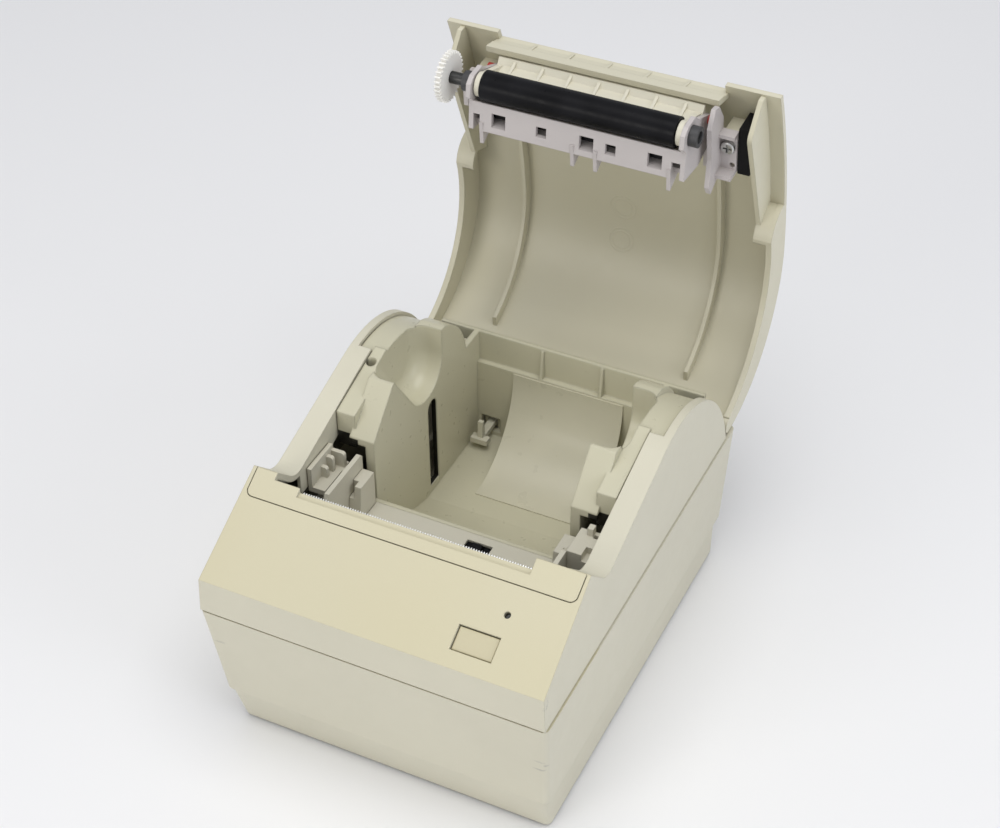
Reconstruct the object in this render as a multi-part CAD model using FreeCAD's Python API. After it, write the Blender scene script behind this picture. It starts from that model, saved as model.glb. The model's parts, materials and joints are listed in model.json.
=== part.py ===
import FreeCAD, Part
import math
import os

# Receipt printer with an open paper lid, built from named pieces.
# Millimetres. X to the right, Y to the back, Z up. Sections are drawn with the lid shut.
# The lid pieces are then swung open about the hinge, the way the printer stands at rest.

Vector = FreeCAD.Vector

# Driving sizes: the paper, the roll well behind the mechanism and the height of the case seam
PAPER_WIDTH = 80.0
WELL_LENGTH = 91.0
SEAM_Z = 70.3

# Walls, gaps and clearances
WALL = 2.5
SEAM_GAP = 0.6
LINE_GAP = 0.5
GROOVE_GAP = 0.4
RUN_CLEAR = 0.06
MOVE_CLEAR = 0.4
BUTTON_CLEAR = 0.35
SOCKET_CLEAR = 0.4

# How far pieces sink into each other, cutting tools run past the material, and points count as one
JOIN = 1.0
SPARE = 10.0
TOUCH = 0.05

# Widths, stacked outward from the paper
PAPER_PLAY = 2.5
END_PLATE_GAP = 1.5
SIDE_PLATE_GAP = 1.0
GEAR_GAP = 6.8
GEAR_ROOM = 2.2
RAIL_WIDTH = 11.3
RAIL_JOG = 5.8
SEAM_STEP = 0.6
BASE_TAPER = 2.6
CABINET_TAPER = 1.9
FRAME_PLATE = 2.0
MECH_PLATE = 2.0
GEAR_THICK = 2.6
BUCKET_HALF_WIDTH = PAPER_WIDTH / 2 + PAPER_PLAY
FRAME_PLATE_X = BUCKET_HALF_WIDTH + END_PLATE_GAP
MECH_PLATE_X = FRAME_PLATE_X + FRAME_PLATE + SIDE_PLATE_GAP
MECH_OUTER_X = MECH_PLATE_X + MECH_PLATE
GEAR_X = -(MECH_OUTER_X + GEAR_GAP + GEAR_THICK)
RAIL_FRONT_INNER = GEAR_ROOM - GEAR_X
RAIL_REAR_INNER = RAIL_FRONT_INNER + RAIL_JOG
CABINET_WIDTH = 2 * (RAIL_FRONT_INNER + RAIL_WIDTH)
CABINET_TOP_WIDTH = CABINET_WIDTH - 2 * CABINET_TAPER
BASE_WIDTH = CABINET_WIDTH + 2 * SEAM_STEP
CREASE_WIDTH = BASE_WIDTH - 2 * BASE_TAPER

# Main places front to back, as (y, z) where a point is meant
PLATEN_AXIS = (51.0, SEAM_Z + 18.3)
MECH_FRONT_Y = PLATEN_AXIS[0] - 19.0
MECH_REAR_Y = PLATEN_AXIS[0] + 33.0
CHEEK_FRONT_Y = MECH_REAR_Y + 2.0
REAR_WALL_Y = CHEEK_FRONT_Y + WELL_LENGTH
HINGE = (REAR_WALL_Y + 5.0, SEAM_Z + 4.2)
BASE_DEPTH = HINGE[0] + 5.2

# Base
CREASE_Z = 22.2
CREASE_FRONT = 7.0
CREASE_REAR = BASE_DEPTH - 2.4
SKIRT_STEP = 2.2
SKIRT_FRONT = 13.7
SKIRT_REAR = CREASE_REAR - 1.4
CORNER_RADIUS = 2.5
FOOT_HEIGHT = 1.6
FOOT_RADIUS = 7.0
FOOT_X = CREASE_WIDTH / 2 - 15.9
FOOT_Y = (34.0, REAR_WALL_Y - 13.0)
FLOOR_TOP = FOOT_HEIGHT + WALL
SCREW_POST_X = CREASE_WIDTH / 2 - 6.9
SCREW_POST_Y = (22.0, REAR_WALL_Y - 27.0)
SCREW_POST_RADIUS = 4.0
POST_JOIN_Z = SEAM_Z - 10.3
POST_TOP_Z = SEAM_Z + 12.0
POST_TIE = 3.0
BASE_SCREW_RADIUS = 1.5
BASE_SCREW_HEAD = 2.8
BASE_SCREW_HEAD_HEIGHT = 2.0
BASE_SCREW_BITE = 8.0

# Upper cabinet section
BAND_BOTTOM = (0.0, SEAM_Z + SEAM_GAP)
BAND_TOP = (0.33, SEAM_Z + 16.3)
SLOPE_TOP = (42.7, SEAM_Z + 40.0)
DIP_RADIUS = 9.0
DROP_ANGLE = 45.0
RISE_ANGLE = 17.0
RAIL_CENTRE = (REAR_WALL_Y - 50.0, SEAM_Z - 5.3)
RAIL_RADIUS = 51.0
JOG_Y = RAIL_CENTRE[0] - 8.0
RAIL_SKIRT = 1.5
RAIL_SKIRT_DROP = 13.0
RAIL_SKIRT_Y = (PLATEN_AXIS[0] + 8.0, CHEEK_FRONT_Y + 14.0)

# Lid
LID_OPEN_ANGLE = 85.5
LID_HALF_WIDTH = CABINET_WIDTH / 2 - LINE_GAP
LID_FRONT = (SLOPE_TOP[0] + 2.9, SEAM_Z + 48.7423)
LID_CENTRE = (REAR_WALL_Y - 46.0, SEAM_Z + 8.7)
KNUCKLE_RADIUS = 3.4
LID_REAR_RADIUS = HINGE[0] + KNUCKLE_RADIUS - LID_CENTRE[0]
LID_BLEND_ANGLE = 91.0
LID_RIM_GAP = 0.7
INSET_WALL_X = LID_HALF_WIDTH - 8.0
INSET_WALL = 2.0
INSET_RISE = 5.0
INSET_RUN = 6.0
SIDE_WALL_START = RAIL_CENTRE[0] - 20.0
SIDE_WALL_ANGLE = 102.0
POCKET_BULGE = (2.6, 4.2)
POCKET_WALL = 2.2
INNER_RIB_X = FRAME_PLATE_X
INNER_RIB_HEIGHT = 4.5
INNER_RIB = 1.8
INNER_RIB_GAP = 4.0
INNER_RIB_END_Z = LID_CENTRE[1] + 13.0
HINGE_PIN_RADIUS = 1.6
HINGE_PIN_INNER = BUCKET_HALF_WIDTH + 3.1
HINGE_PIN_LENGTH = 16.0
KNUCKLE_INNER_X = BUCKET_HALF_WIDTH + 8.5

# Platen, carried by the lid and drawn in its shut place
ROLLER_RADIUS = 6.2
ROLLER_LENGTH = PAPER_WIDTH + 2.0
SHAFT_RADIUS = 2.5
BUSH_RADIUS = 4.2
BUSH_LENGTH = 5.6
SHAFT_LEFT = GEAR_X - 0.6
SHAFT_RIGHT = FRAME_PLATE_X + BUSH_LENGTH - 0.8
WEB_FRONT = (PLATEN_AXIS[0] + 5.2, PLATEN_AXIS[1] - 4.7)
WEB_REAR = (PLATEN_AXIS[0] + 17.4, PLATEN_AXIS[1] - 6.7)
WEB = 2.0
FRAME_TOP_Z = PLATEN_AXIS[1] + 21.0
FRAME_REAR_Y = PLATEN_AXIS[0] + 16.8
END_PLATE_FRONT = ((-5.6, -3.0), (-5.6, 4.4), (-2.2, 8.0))
END_PLATE_TOP = 4.0
END_PLATE_REAR = (3.0, 8.0)
END_PLATE_LOW = ((2.0, -7.6), (-3.4, -6.4))
BRACKET_X = FRAME_PLATE_X + 5.2
ARM_Y = (PLATEN_AXIS[0] + 9.0, PLATEN_AXIS[0] + 28.0)
RIGHT_BRACKET = ((-13.0, -5.0), (-5.0, 0.0), (19.0, 0.0), (24.0, -12.0), (20.0, -14.0), (8.0, -12.0),
                 (-7.0, -13.0), (-14.0, -9.0))
ARM_FLANGES = ((0.0, 5.0), (17.4, 8.0))
ARM_FLANGE = 1.6
ARM_HOLE = (1.7, 15.4, 1.15)
LEFT_BRACKET = ((3.0, 0.0), (19.0, 0.0), (16.0, -5.0), (7.0, -5.0))
WINDOW_X = (-33.0, -14.5, 4.8, 15.0, 33.5)
WINDOW_SIZE = (6.0, 4.4, 6.0, 4.4, 6.0)
WINDOW_Y = PLATEN_AXIS[0] + 11.8
WEB_FIN_X = (-40.4, -1.0, 8.8, 39.6)
WEB_FIN_TIP = PLATEN_AXIS[0] + 23.4
WEB_FIN_HEIGHT = 12.0
WEB_FIN = 1.6
WEB_NOTCH = 7.0
BAR_FRONT_Y = PLATEN_AXIS[0] - 0.7
BAR_DEPTH = 8.0
BAR_TOP_Z = PLATEN_AXIS[1] + 19.8
BAR_BEND_Z = PLATEN_AXIS[1] + 17.2
BAR_LOW_Z = PLATEN_AXIS[1] + 7.4
BAR_CREST = 0.7
BAR_STEP = 2.4
BAR_TAB = 2.6
BAR_TAB_Z = PLATEN_AXIS[1] + 16.4
BAR_EYE = 5.0
BAR_RIB_COUNT = 7
BAR_RIB_PITCH = 12.2
BAR_RIB = 1.3
BAR_RIB_HEIGHT = 2.0
BAR_RIB_REACH = 5.4
CLIP_RADIUS = 1.9
CLIP_LENGTH = 2.6
CLIP_AXIS = (BAR_FRONT_Y + 5.6, BAR_TOP_Z - 1.4)
FRAME_SCREW_RADIUS = 1.5
FRAME_SCREW_LENGTH = 12.0
FRAME_SCREW_HEAD = 2.9
FRAME_SCREW_HEAD_HEIGHT = 2.2
FRAME_SCREW_ROUND = 0.8
SCREW_CROSS = (0.8, 3.6, 1.2)
FRAME_SCREW_X = BRACKET_X + 5.2
FRAME_SCREW_Y = PLATEN_AXIS[0] + 15.6
FRAME_BOSS = (3.6, 3.2)
FRAME_BOSS_FRONT = 3.0
FRAME_BOSS_REAR = 6.0
ARM_REACH = FRAME_SCREW_X + FRAME_SCREW_HEAD + MOVE_CLEAR
LINER_DEPTH = 5.2
LINER_THICK = 1.4
CATCH_Y = (ARM_Y[0] - 1.8, ARM_Y[1] + 0.6)
CATCH_DROP = 1.0

# Gear drive: the pinion meshes with the idler, the platen gear stays just clear of it
GEAR_MODULE = 0.6
TOOTH_ROOT = 0.27
TOOTH_TIP = 0.13
ROOT_DEPTH = 1.25
PLATEN_TEETH = 33
IDLER_TEETH = 48
PINION_TEETH = 12
TIP_CLEAR = 0.35
MESH_PLAY = 0.1
HUB_WALL = 2.0
HUB_PROUD = 0.8
MOTOR_AXIS = (PLATEN_AXIS[0] + 11.0, PLATEN_AXIS[1] - 41.1)
MOTOR_RADIUS = 13.5
MOTOR_LENGTH = 24.0
MOTOR_SHAFT_RADIUS = 1.5
MOTOR_POCKET = 3.0
IDLER_PIN_RADIUS = 1.8
IDLER_CAP = 1.5
IDLER_CAP_WALL = 1.0

# Printing mechanism
MECH_FLOOR_Z = SEAM_Z - 8.3
MECH_TOP_Z = PLATEN_AXIS[1] + 3.4
MECH_FRONT_DROP = 2.5
MECH_FRONT_RUN = 8.0
MECH_CORNER_LEFT = (1.0, 1.0)
MECH_CORNER_RIGHT = (16.2, 10.5)
MECH_LEG = 5.0
MECH_LEG_Y = (MECH_FRONT_Y + 4.0, MECH_REAR_Y - 6.0)
SLOT_FLARE = 2.2
GUIDE_Z = SEAM_Z - 1.3
GUIDE_FRONT_Y = PLATEN_AXIS[0] - 2.0
GUIDE_THICK = 1.2
GUIDE_BEND = 9.0
GUIDE_SAG = 0.3
GUIDE_REAR_Y = MECH_REAR_Y - 0.6
GUIDE_RIB = 2.0
GUIDE_RIB_Y = (GUIDE_FRONT_Y + 12.0, MECH_REAR_Y - 3.0)
BLOCK_HALF_INNER = PAPER_WIDTH / 2 + 1.6
BLOCK_WIDTH = 5.2
BLOCK_Y = (PLATEN_AXIS[0] + 21.4, PLATEN_AXIS[0] + 32.2)
BLOCK_LEAN = 2.5
BLOCK_TOP_Z = PLATEN_AXIS[1] - 3.6
BLOCK_NOTCH = (2.4, 3.4, 6.0)
GUIDE_HALF_WIDTH = BLOCK_HALF_INNER - 0.2
HEAD_THICK = 2.6
HEAD_HEIGHT = 15.0
HEAD_LENGTH = PAPER_WIDTH + 6.0
HEAT_SINK_THICK = 4.5
HEAT_SINK_DROP = 4.0
HEAT_SINK_TAB = 6.0
SPRING_RADIUS = 2.4
SPRING_X = (-24.0, 24.0)
SPRING_Z = PLATEN_AXIS[1] - 2.0
SENSOR_X = 7.0
SENSOR_Y = PLATEN_AXIS[0] + 25.0
SENSOR_SIZE = (11.0, 7.0, 3.0)
SENSOR_FLAG = 4.0
COVER_X = (-RAIL_FRONT_INNER + LINE_GAP, -RAIL_FRONT_INNER + 8.0)
COVER_Y = (PLATEN_AXIS[0] + 12.5, PLATEN_AXIS[0] + 32.0)
COVER_SINK = 11.9
COVER_THICK = 2.5
COVER_TIE = (6.0, 2.0, 3.0)
FIN_Y = (PLATEN_AXIS[0] + 19.7, PLATEN_AXIS[0] + 24.0, PLATEN_AXIS[0] + 28.1)
FIN_HEIGHT = (5.0, 7.0, 7.0)
FIN_WIDTH = (4.5, 4.8, 7.6)
FIN_ROUND = 1.2
FIN = 1.8
SPINE_HEIGHT = 9.0
LATCH_X = (MECH_OUTER_X, RAIL_FRONT_INNER - 1.1)
LATCH_Y = (PLATEN_AXIS[0] + 17.0, PLATEN_AXIS[0] + 31.0)
LATCH_Z = (PLATEN_AXIS[1] - 6.0, PLATEN_AXIS[1] + 3.6)
LATCH_STEP = (4.5, 5.0, 3.2)
LATCH_TAB = (2.4, 3.0, 3.4)
LATCH_TAB_X = LATCH_X[0] + 3.6
LATCH_HOLE = (2.0, 1.8, 4.0)

# Front panel
SLOPE_GROOVE = 36.9
KNIFE_HALF_WIDTH = CABINET_TOP_WIDTH / 2 - 1.8
KNIFE_THICK = 2.4
KNIFE_CORNER = 2.6
KNIFE_SHELF = 1.4
KNIFE_SHELF_LAP = 4.0
KNIFE_FLANGE = (2.0, 6.5, 1.2)
TEAR_HALF_WIDTH = PAPER_WIDTH / 2 + 7.6
TEAR_THICK = 0.8
TEAR_START = 40.5
TOOTH_PITCH = 1.05
TOOTH_HEIGHT = 1.0
TOOTH_COUNT = int(round(2 * TEAR_HALF_WIDTH / TOOTH_PITCH - 0.01))
NOTCH_HALF_WIDTH = TEAR_HALF_WIDTH + 0.9
NOTCH_START = 41.8
NOTCH_END = 44.2
NOTCH_DEPTH = 1.4
EAR_INNER_X = NOTCH_HALF_WIDTH + 0.2
LIP_SETBACK = 4.0
LIP_BOTTOM = (LID_FRONT[0] + 1.0, SEAM_Z + 37.2)
LIP_THICK = (2.6, 3.0)
LIP_BAND = 0.5
LIP_STEP = 0.45
LIP_RIB_X = (-33.0, -16.5, 0.0, 16.5, 33.0)
LIP_RIB = 1.2
BUTTON_CENTRE = (CABINET_TOP_WIDTH / 2 - 30.7, 11.55)
BUTTON_SIZE = (16.0, 9.2)
BUTTON_SUNK = 0.9
BUTTON_DEPTH = 6.0
BUTTON_ROUND = 0.5
BUTTON_TRAVEL = 1.2
LIGHT_X = BUTTON_CENTRE[0] + 7.2
LIGHT_S = 25.1
LIGHT_RADIUS = 1.35
LIGHT_SUNK = 2.0
PANEL_BOARD_DEPTH = 12.0
PANEL_BOARD_THICK = 1.6
PANEL_BOARD_S = (1.5, LIGHT_S + 4.0)
PANEL_BOARD_X = (BUTTON_CENTRE[0] - 18.0, LIGHT_X + 6.0)
PANEL_POST_X = BUTTON_CENTRE[0] - 14.0
PANEL_POST_S = (4.0, LIGHT_S + 1.0)
PANEL_POST_RADIUS = 2.4
SWITCH_SIZE = 6.0
SWITCH_STEM = 1.7

# Paper bucket
CHEEK_INNER = 11.0
CHEEK_FOOT_Z = SEAM_Z - 6.3
CHEEK_SINK = 1.5
CHEEK_POST = 4.0
CHEEK_BEAM = 3.0
CHUTE_LOW_Z = SEAM_Z + 26.9
PEAK = (CHEEK_FRONT_Y + 17.5, SEAM_Z + 44.1)
RIDGE_FRONT_Y = CHEEK_FRONT_Y + 2.4
RIDGE_FOOT_Z = SEAM_Z + 19.7
RIDGE_HOLLOW_Z = SEAM_Z + 31.7
RIDGE_SINK = 0.4
RIDGE_LAP = 2.0
CLIP_HOLE_RADIUS = 2.1
CLIP_HOLE_Y = JOG_Y - 5.0
CROWN_THICK = 3.0
CROWN_END_ANGLE = 38.0
POST_TOP = (REAR_WALL_Y - 28.4, SEAM_Z + 41.7)
POST_RUN = (24.0, 11.0)
REAR_DROP = (REAR_WALL_Y - 10.4, SEAM_Z + 17.7)
REAR_BULGE = (5.5, 14.5)
FLOOR_Z = SEAM_Z - 35.8
LEDGE_Z = SEAM_Z - 1.9
LEDGE_DEPTH = 4.0
LEDGE_RUN = 2.0
FLOOR_FLAT_Y = REAR_WALL_Y - 49.0
FLOOR_MID = (CHEEK_FRONT_Y + (FLOOR_FLAT_Y - CHEEK_FRONT_Y) * 20.0 / 42.0, FLOOR_Z + 9.0)
FLOOR_MID_UNDER = (1.6, 1.9)
BAND_WALL_Y = REAR_WALL_Y + 2.6
BAND_WALL = 1.9
BAND_WALL_DROP = 6.0
BAND_SIDE_LAP = 4.0
BAND_WING = 6.0
BAND_LEDGE_Z = SEAM_Z + 3.1
BAND_TOP_Z = SEAM_Z + 17.7
GUSSET_X = (-12.5, 15.0)
GUSSET = 1.5
GUSSET_SHORT = 0.8
HINGE_BOSS_DROP = 12.0
SCOOP_CENTRE = (REAR_WALL_Y - 46.0, SEAM_Z + 30.7)
SCOOP_RADIUS = 14.4
SCOOP_ROUND = 7.0
SCOOP_REACH = 1.5
SCOOP_BRIM = 1.2
SLOT_Y = (REAR_WALL_Y - 45.8, REAR_WALL_Y - 38.0)
SLOT_Z = (FLOOR_Z + 3.5, SEAM_Z + 8.7)
LEG_RADIUS = 4.0
LEG_X = BUCKET_HALF_WIDTH + 7.5
LEG_Y = (CHEEK_FRONT_Y + 18.0, REAR_WALL_Y - 19.0)
FILM_X = (-BUCKET_HALF_WIDTH + 17.5, BUCKET_HALF_WIDTH - 16.5)
FILM = 0.5
FILM_RADIUS = 38.0
FILM_FLAT = 0.6
LEVER_X = (-BUCKET_HALF_WIDTH + 2.1, -BUCKET_HALF_WIDTH + 10.1)
LEVER_PIVOT = (BAND_WALL_Y + 1.6, FLOOR_Z + 5.5)
LEVER_PAD_Y = (REAR_WALL_Y - 12.4, REAR_WALL_Y - 8.6)
LEVER_PAD_Z = (FLOOR_Z + 3.7, FLOOR_Z + 6.3)
LEVER_STEM_Z = FLOOR_Z + 14.5
LEVER_STEM = 2.4
LEVER_STEM_TOP = 1.8
LEVER_NECK = (LEVER_X[0] + 2.2, LEVER_X[1] - 2.4)
LEVER_NECK_THICK = 2.4
LEVER_EYE = 1.7
LEVER_PIN_RADIUS = 0.9
LEVER_SLOT_GROW = 1.6
LEVER_SLOT_SIDE = (0.4, 0.8)
LEVER_LIFT = 2.0
LUG = 1.6
LOW_SENSOR_SIZE = (5.0, 2.6, 8.0)
LOW_SENSOR_GAP = 2.0

# Electronics
BOARD_HALF_WIDTH = BUCKET_HALF_WIDTH + 0.5
BOARD_Y = (CHEEK_FRONT_Y + 6.0, REAR_WALL_Y - 1.0)
BOARD_Z = 9.0
BOARD_THICK = 1.6
BOARD_POST_RADIUS = 2.6
BOARD_POST_INSET = 4.0
CHIPS = ((-4.0, 36.0, 20.0, 20.0, 2.4), (21.0, 25.0, 14.0, 10.0, 1.8), (-29.0, 27.0, 10.0, 14.0, 1.8))
CANS = ((-30.0, 53.0), (-20.0, 53.0), (22.0, 48.0))
CAN_RADIUS = 4.0
CAN_HEIGHT = 11.0
SOCKET_X = (-BOARD_HALF_WIDTH + 11.0, -8.0, 14.0, BOARD_HALF_WIDTH - 12.0)
SOCKET_WIDTH = (16.0, 22.0, 12.0, 12.5)
SOCKET_HEIGHT = (13.0, 9.5, 11.0, 12.0)
SOCKET_DEPTH = 12.0
SOCKET_MOUTH = 8.0
SOCKET_RIM = 1.6
SOCKET_FACE_Y = BASE_DEPTH - 4.0


# Small helpers

def box(x0, x1, y0, y1, z0, z1):
    return Part.makeBox(x1 - x0, y1 - y0, z1 - z0, Vector(x0, y0, z0))


def rod_x(axis, radius, x0, x1):
    return Part.makeCylinder(radius, x1 - x0, Vector(x0, axis[0], axis[1]), Vector(1, 0, 0))


def rod_y(x, z, radius, y0, y1):
    return Part.makeCylinder(radius, y1 - y0, Vector(x, y0, z), Vector(0, 1, 0))


def rod_z(x, y, radius, z0, z1):
    return Part.makeCylinder(radius, z1 - z0, Vector(x, y, z0), Vector(0, 0, 1))


def fuse(shapes):
    result = shapes[0].multiFuse(shapes[1:]) if len(shapes) > 1 else shapes[0]
    return result.removeSplitter()


def mirrored(shape):
    return shape.mirror(Vector(0, 0, 0), Vector(1, 0, 0))


def span(side, inner, outer):
    # Low and high x of a piece that runs from inner to outer on one side, -1 left or 1 right.
    return sorted((side * inner, side * outer))


def section_x(path, x0, x1):
    # A path of (y, z) points; an entry of two points is an arc through the first to the second.
    flat = [step[-1] if isinstance(step[0], tuple) else step for step in path]
    edges = []
    for index, step in enumerate(path):
        start = Vector(x0, *flat[index - 1])
        end = Vector(x0, *flat[index])
        if isinstance(step[0], tuple):
            edges.append(Part.Arc(start, Vector(x0, *step[0]), end).toShape())
        elif start.distanceToPoint(end) > 1e-6:
            edges.append(Part.makeLine(start, end))
    return Part.Face(Part.Wire(edges)).extrude(Vector(x1 - x0, 0, 0))


def polar(centre, radius, degrees):
    angle = math.radians(degrees)
    return (centre[0] + radius * math.cos(angle), centre[1] + radius * math.sin(angle))


def side_line(start, end, grow):
    # The straight line left of start to end, moved outward by grow: (normal y, normal z, distance).
    dy = end[0] - start[0]
    dz = end[1] - start[1]
    length = math.hypot(dy, dz)
    normal = (-dz / length, dy / length)
    return (normal[0], normal[1], normal[0] * start[0] + normal[1] * start[1] + grow)


def meet(first, second):
    det = first[0] * second[1] - first[1] * second[0]
    y = (first[2] * second[1] - first[1] * second[2]) / det
    z = (first[0] * second[2] - first[2] * second[0]) / det
    return (y, z)


def rounded_ring(half_width, front, rear, z):
    # A rectangle with rounded corners, as a closed wire at height z.
    r = CORNER_RADIUS
    k = r * (1 - math.sqrt(0.5))
    corners = [(half_width, rear, -1, -1), (-half_width, rear, 1, -1),
               (-half_width, front, 1, 1), (half_width, front, -1, 1)]
    arcs = []
    for index, (x, y, sx, sy) in enumerate(corners):
        first = Vector(x, y + sy * r, z)
        last = Vector(x + sx * r, y, z)
        if index % 2:
            first, last = last, first
        arcs.append((first, Vector(x + sx * k, y + sy * k, z), last))
    edges = []
    for index, (first, mid, last) in enumerate(arcs):
        edges.append(Part.Arc(first, mid, last).toShape())
        edges.append(Part.makeLine(last, arcs[(index + 1) % len(arcs)][0]))
    return Part.Wire(edges)


def loft(wires):
    return Part.makeLoft(wires, True, True)


# Base

def base_block(inset, floor_z, top_z):
    crease_half = CREASE_WIDTH / 2
    top_half = BASE_WIDTH / 2
    grow = (top_z - CREASE_Z) / (SEAM_Z - CREASE_Z)
    half = crease_half + (top_half - crease_half) * grow - inset
    front = CREASE_FRONT * (1 - grow) + inset
    rear = CREASE_REAR + (BASE_DEPTH - CREASE_REAR) * grow - inset
    upper = loft([rounded_ring(crease_half - inset, CREASE_FRONT + inset, CREASE_REAR - inset, CREASE_Z),
                  rounded_ring(half, front, rear, top_z)])
    skirt_half = crease_half - SKIRT_STEP - inset
    lower = loft([rounded_ring(skirt_half, SKIRT_FRONT + inset, SKIRT_REAR - inset, floor_z),
                  rounded_ring(skirt_half, CREASE_FRONT + inset, CREASE_REAR - inset, CREASE_Z)])
    return fuse([lower, upper])


def base_case():
    shell = base_block(0, FOOT_HEIGHT, SEAM_Z).cut(base_block(WALL, FLOOR_TOP, SEAM_Z + JOIN))
    posts = []
    holes = []
    for x in (-SCREW_POST_X, SCREW_POST_X):
        for y in SCREW_POST_Y:
            posts.append(rod_z(x, y, SCREW_POST_RADIUS, FOOT_HEIGHT + JOIN, POST_JOIN_Z))
            holes.append(rod_z(x, y, BASE_SCREW_RADIUS, FOOT_HEIGHT, POST_JOIN_Z + JOIN))
            holes.append(rod_z(x, y, BASE_SCREW_HEAD + MOVE_CLEAR, FOOT_HEIGHT - JOIN, FLOOR_TOP))
    for x in (-BOARD_HALF_WIDTH + BOARD_POST_INSET, BOARD_HALF_WIDTH - BOARD_POST_INSET):
        for y in (BOARD_Y[0] + BOARD_POST_INSET, BOARD_Y[1] - BOARD_POST_INSET):
            posts.append(rod_z(x, y, BOARD_POST_RADIUS, FOOT_HEIGHT + JOIN, BOARD_Z))
    for x, width, height in zip(SOCKET_X, SOCKET_WIDTH, SOCKET_HEIGHT):
        half = width / 2 + SOCKET_CLEAR
        low = BOARD_Z + BOARD_THICK - SOCKET_CLEAR
        high = low + height + 2 * SOCKET_CLEAR
        holes.append(box(x - half, x + half, SOCKET_FACE_Y - SOCKET_DEPTH, BASE_DEPTH, low, high))
    return fuse([shell] + posts).cut(holes)


def rubber_feet():
    return Part.makeCompound([rod_z(x, y, FOOT_RADIUS, 0, FOOT_HEIGHT)
                              for x in (-FOOT_X, FOOT_X) for y in FOOT_Y])


def base_screws():
    screws = []
    for x in (-SCREW_POST_X, SCREW_POST_X):
        for y in SCREW_POST_Y:
            head = rod_z(x, y, BASE_SCREW_HEAD, FLOOR_TOP - BASE_SCREW_HEAD_HEIGHT, FLOOR_TOP)
            shank = rod_z(x, y, BASE_SCREW_RADIUS, FLOOR_TOP - JOIN, POST_JOIN_Z + BASE_SCREW_BITE)
            screws.append(head.fuse(shank))
    return Part.makeCompound(screws)


# Cabinet section lines

def slope_frame():
    # Unit direction up the front slope and its outward normal, both as (y, z).
    dy = SLOPE_TOP[0] - BAND_TOP[0]
    dz = SLOPE_TOP[1] - BAND_TOP[1]
    length = math.hypot(dy, dz)
    return (dy / length, dz / length), (-dz / length, dy / length)


def slope_point(s, n):
    along, normal = slope_frame()
    return (BAND_TOP[0] + along[0] * s + normal[0] * n, BAND_TOP[1] + along[1] * s + normal[1] * n)


def slope_vector(x, s, n):
    return Vector(x, *slope_point(s, n))


def slope_box(x0, x1, s0, s1, n0, n1):
    corners = [slope_point(s0, n0), slope_point(s1, n0), slope_point(s1, n1), slope_point(s0, n1)]
    return section_x(corners, x0, x1)


def slope_rod(x, s, radius, n0, n1):
    normal = slope_frame()[1]
    return Part.makeCylinder(radius, n1 - n0, slope_vector(x, s, n0), Vector(0, *normal))


def slope_length():
    return math.hypot(SLOPE_TOP[0] - BAND_TOP[0], SLOPE_TOP[1] - BAND_TOP[1])


def drop_line(grow):
    angle = math.radians(DROP_ANGLE)
    end = (SLOPE_TOP[0] + math.cos(angle), SLOPE_TOP[1] - math.sin(angle))
    return side_line(SLOPE_TOP, end, grow)


def rise_line(grow):
    angle = math.radians(RISE_ANGLE)
    tangent = polar(RAIL_CENTRE, RAIL_RADIUS, 90 + RISE_ANGLE)
    start = (tangent[0] - math.cos(angle), tangent[1] - math.sin(angle))
    return side_line(start, tangent, grow)


def dip_path(grow):
    # From the drop behind the front panel round the dip to the rising rail.
    radius = DIP_RADIUS - grow
    drop = drop_line(grow)
    rise = rise_line(grow)
    centre = meet((drop[0], drop[1], drop[2] + radius), (rise[0], rise[1], rise[2] + radius))
    first = (centre[0] - drop[0] * radius, centre[1] - drop[1] * radius)
    last = (centre[0] - rise[0] * radius, centre[1] - rise[1] * radius)
    middle = polar(centre, radius, 270 + 0.5 * (RISE_ANGLE - DROP_ANGLE))
    return [first, (middle, last)]


def rail_arc(grow, from_angle, to_angle):
    radius = RAIL_RADIUS + grow
    middle = polar(RAIL_CENTRE, radius, 0.5 * (from_angle + to_angle))
    return (middle, polar(RAIL_CENTRE, radius, to_angle))


def rail_angle_at(z, grow):
    return math.degrees(math.asin((z - RAIL_CENTRE[1]) / (RAIL_RADIUS + grow)))


def rail_path(grow, end_z):
    # Dip, rising rail and rear arc down to end_z.
    start = 90 + RISE_ANGLE
    end = rail_angle_at(end_z, grow)
    return dip_path(grow) + [polar(RAIL_CENTRE, RAIL_RADIUS + grow, start), rail_arc(grow, start, end)]


def rail_z(y, grow):
    # Height of the rail at depth y behind the dip.
    arc_start = polar(RAIL_CENTRE, RAIL_RADIUS + grow, 90 + RISE_ANGLE)
    if y < arc_start[0]:
        rise = rise_line(grow)
        return (rise[2] - rise[0] * y) / rise[1]
    return RAIL_CENTRE[1] + math.sqrt((RAIL_RADIUS + grow) ** 2 - (y - RAIL_CENTRE[0]) ** 2)


def cabinet_section(grow, bottom_z):
    front = side_line(BAND_BOTTOM, BAND_TOP, grow)
    slope = side_line(BAND_TOP, SLOPE_TOP, grow)
    floor = (0.0, 1.0, bottom_z)
    return [meet(front, floor), meet(front, slope), meet(slope, drop_line(grow))] + rail_path(grow, bottom_z)


def rail_top():
    return RAIL_CENTRE[1] + RAIL_RADIUS


def cabinet_sides(inset):
    # Tapered block that trims the sides of the cabinet.
    lean = CABINET_TAPER / (SLOPE_TOP[1] - BAND_BOTTOM[1])
    rear = BASE_DEPTH + SPARE
    wires = []
    for z in (BAND_BOTTOM[1] - SPARE, rail_top() + SPARE):
        half = CABINET_WIDTH / 2 - lean * (z - BAND_BOTTOM[1]) - inset
        corners = ((-half, -SPARE), (half, -SPARE), (half, rear), (-half, rear), (-half, -SPARE))
        wires.append(Part.makePolygon([Vector(x, y, z) for x, y in corners]))
    return loft(wires)


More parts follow.
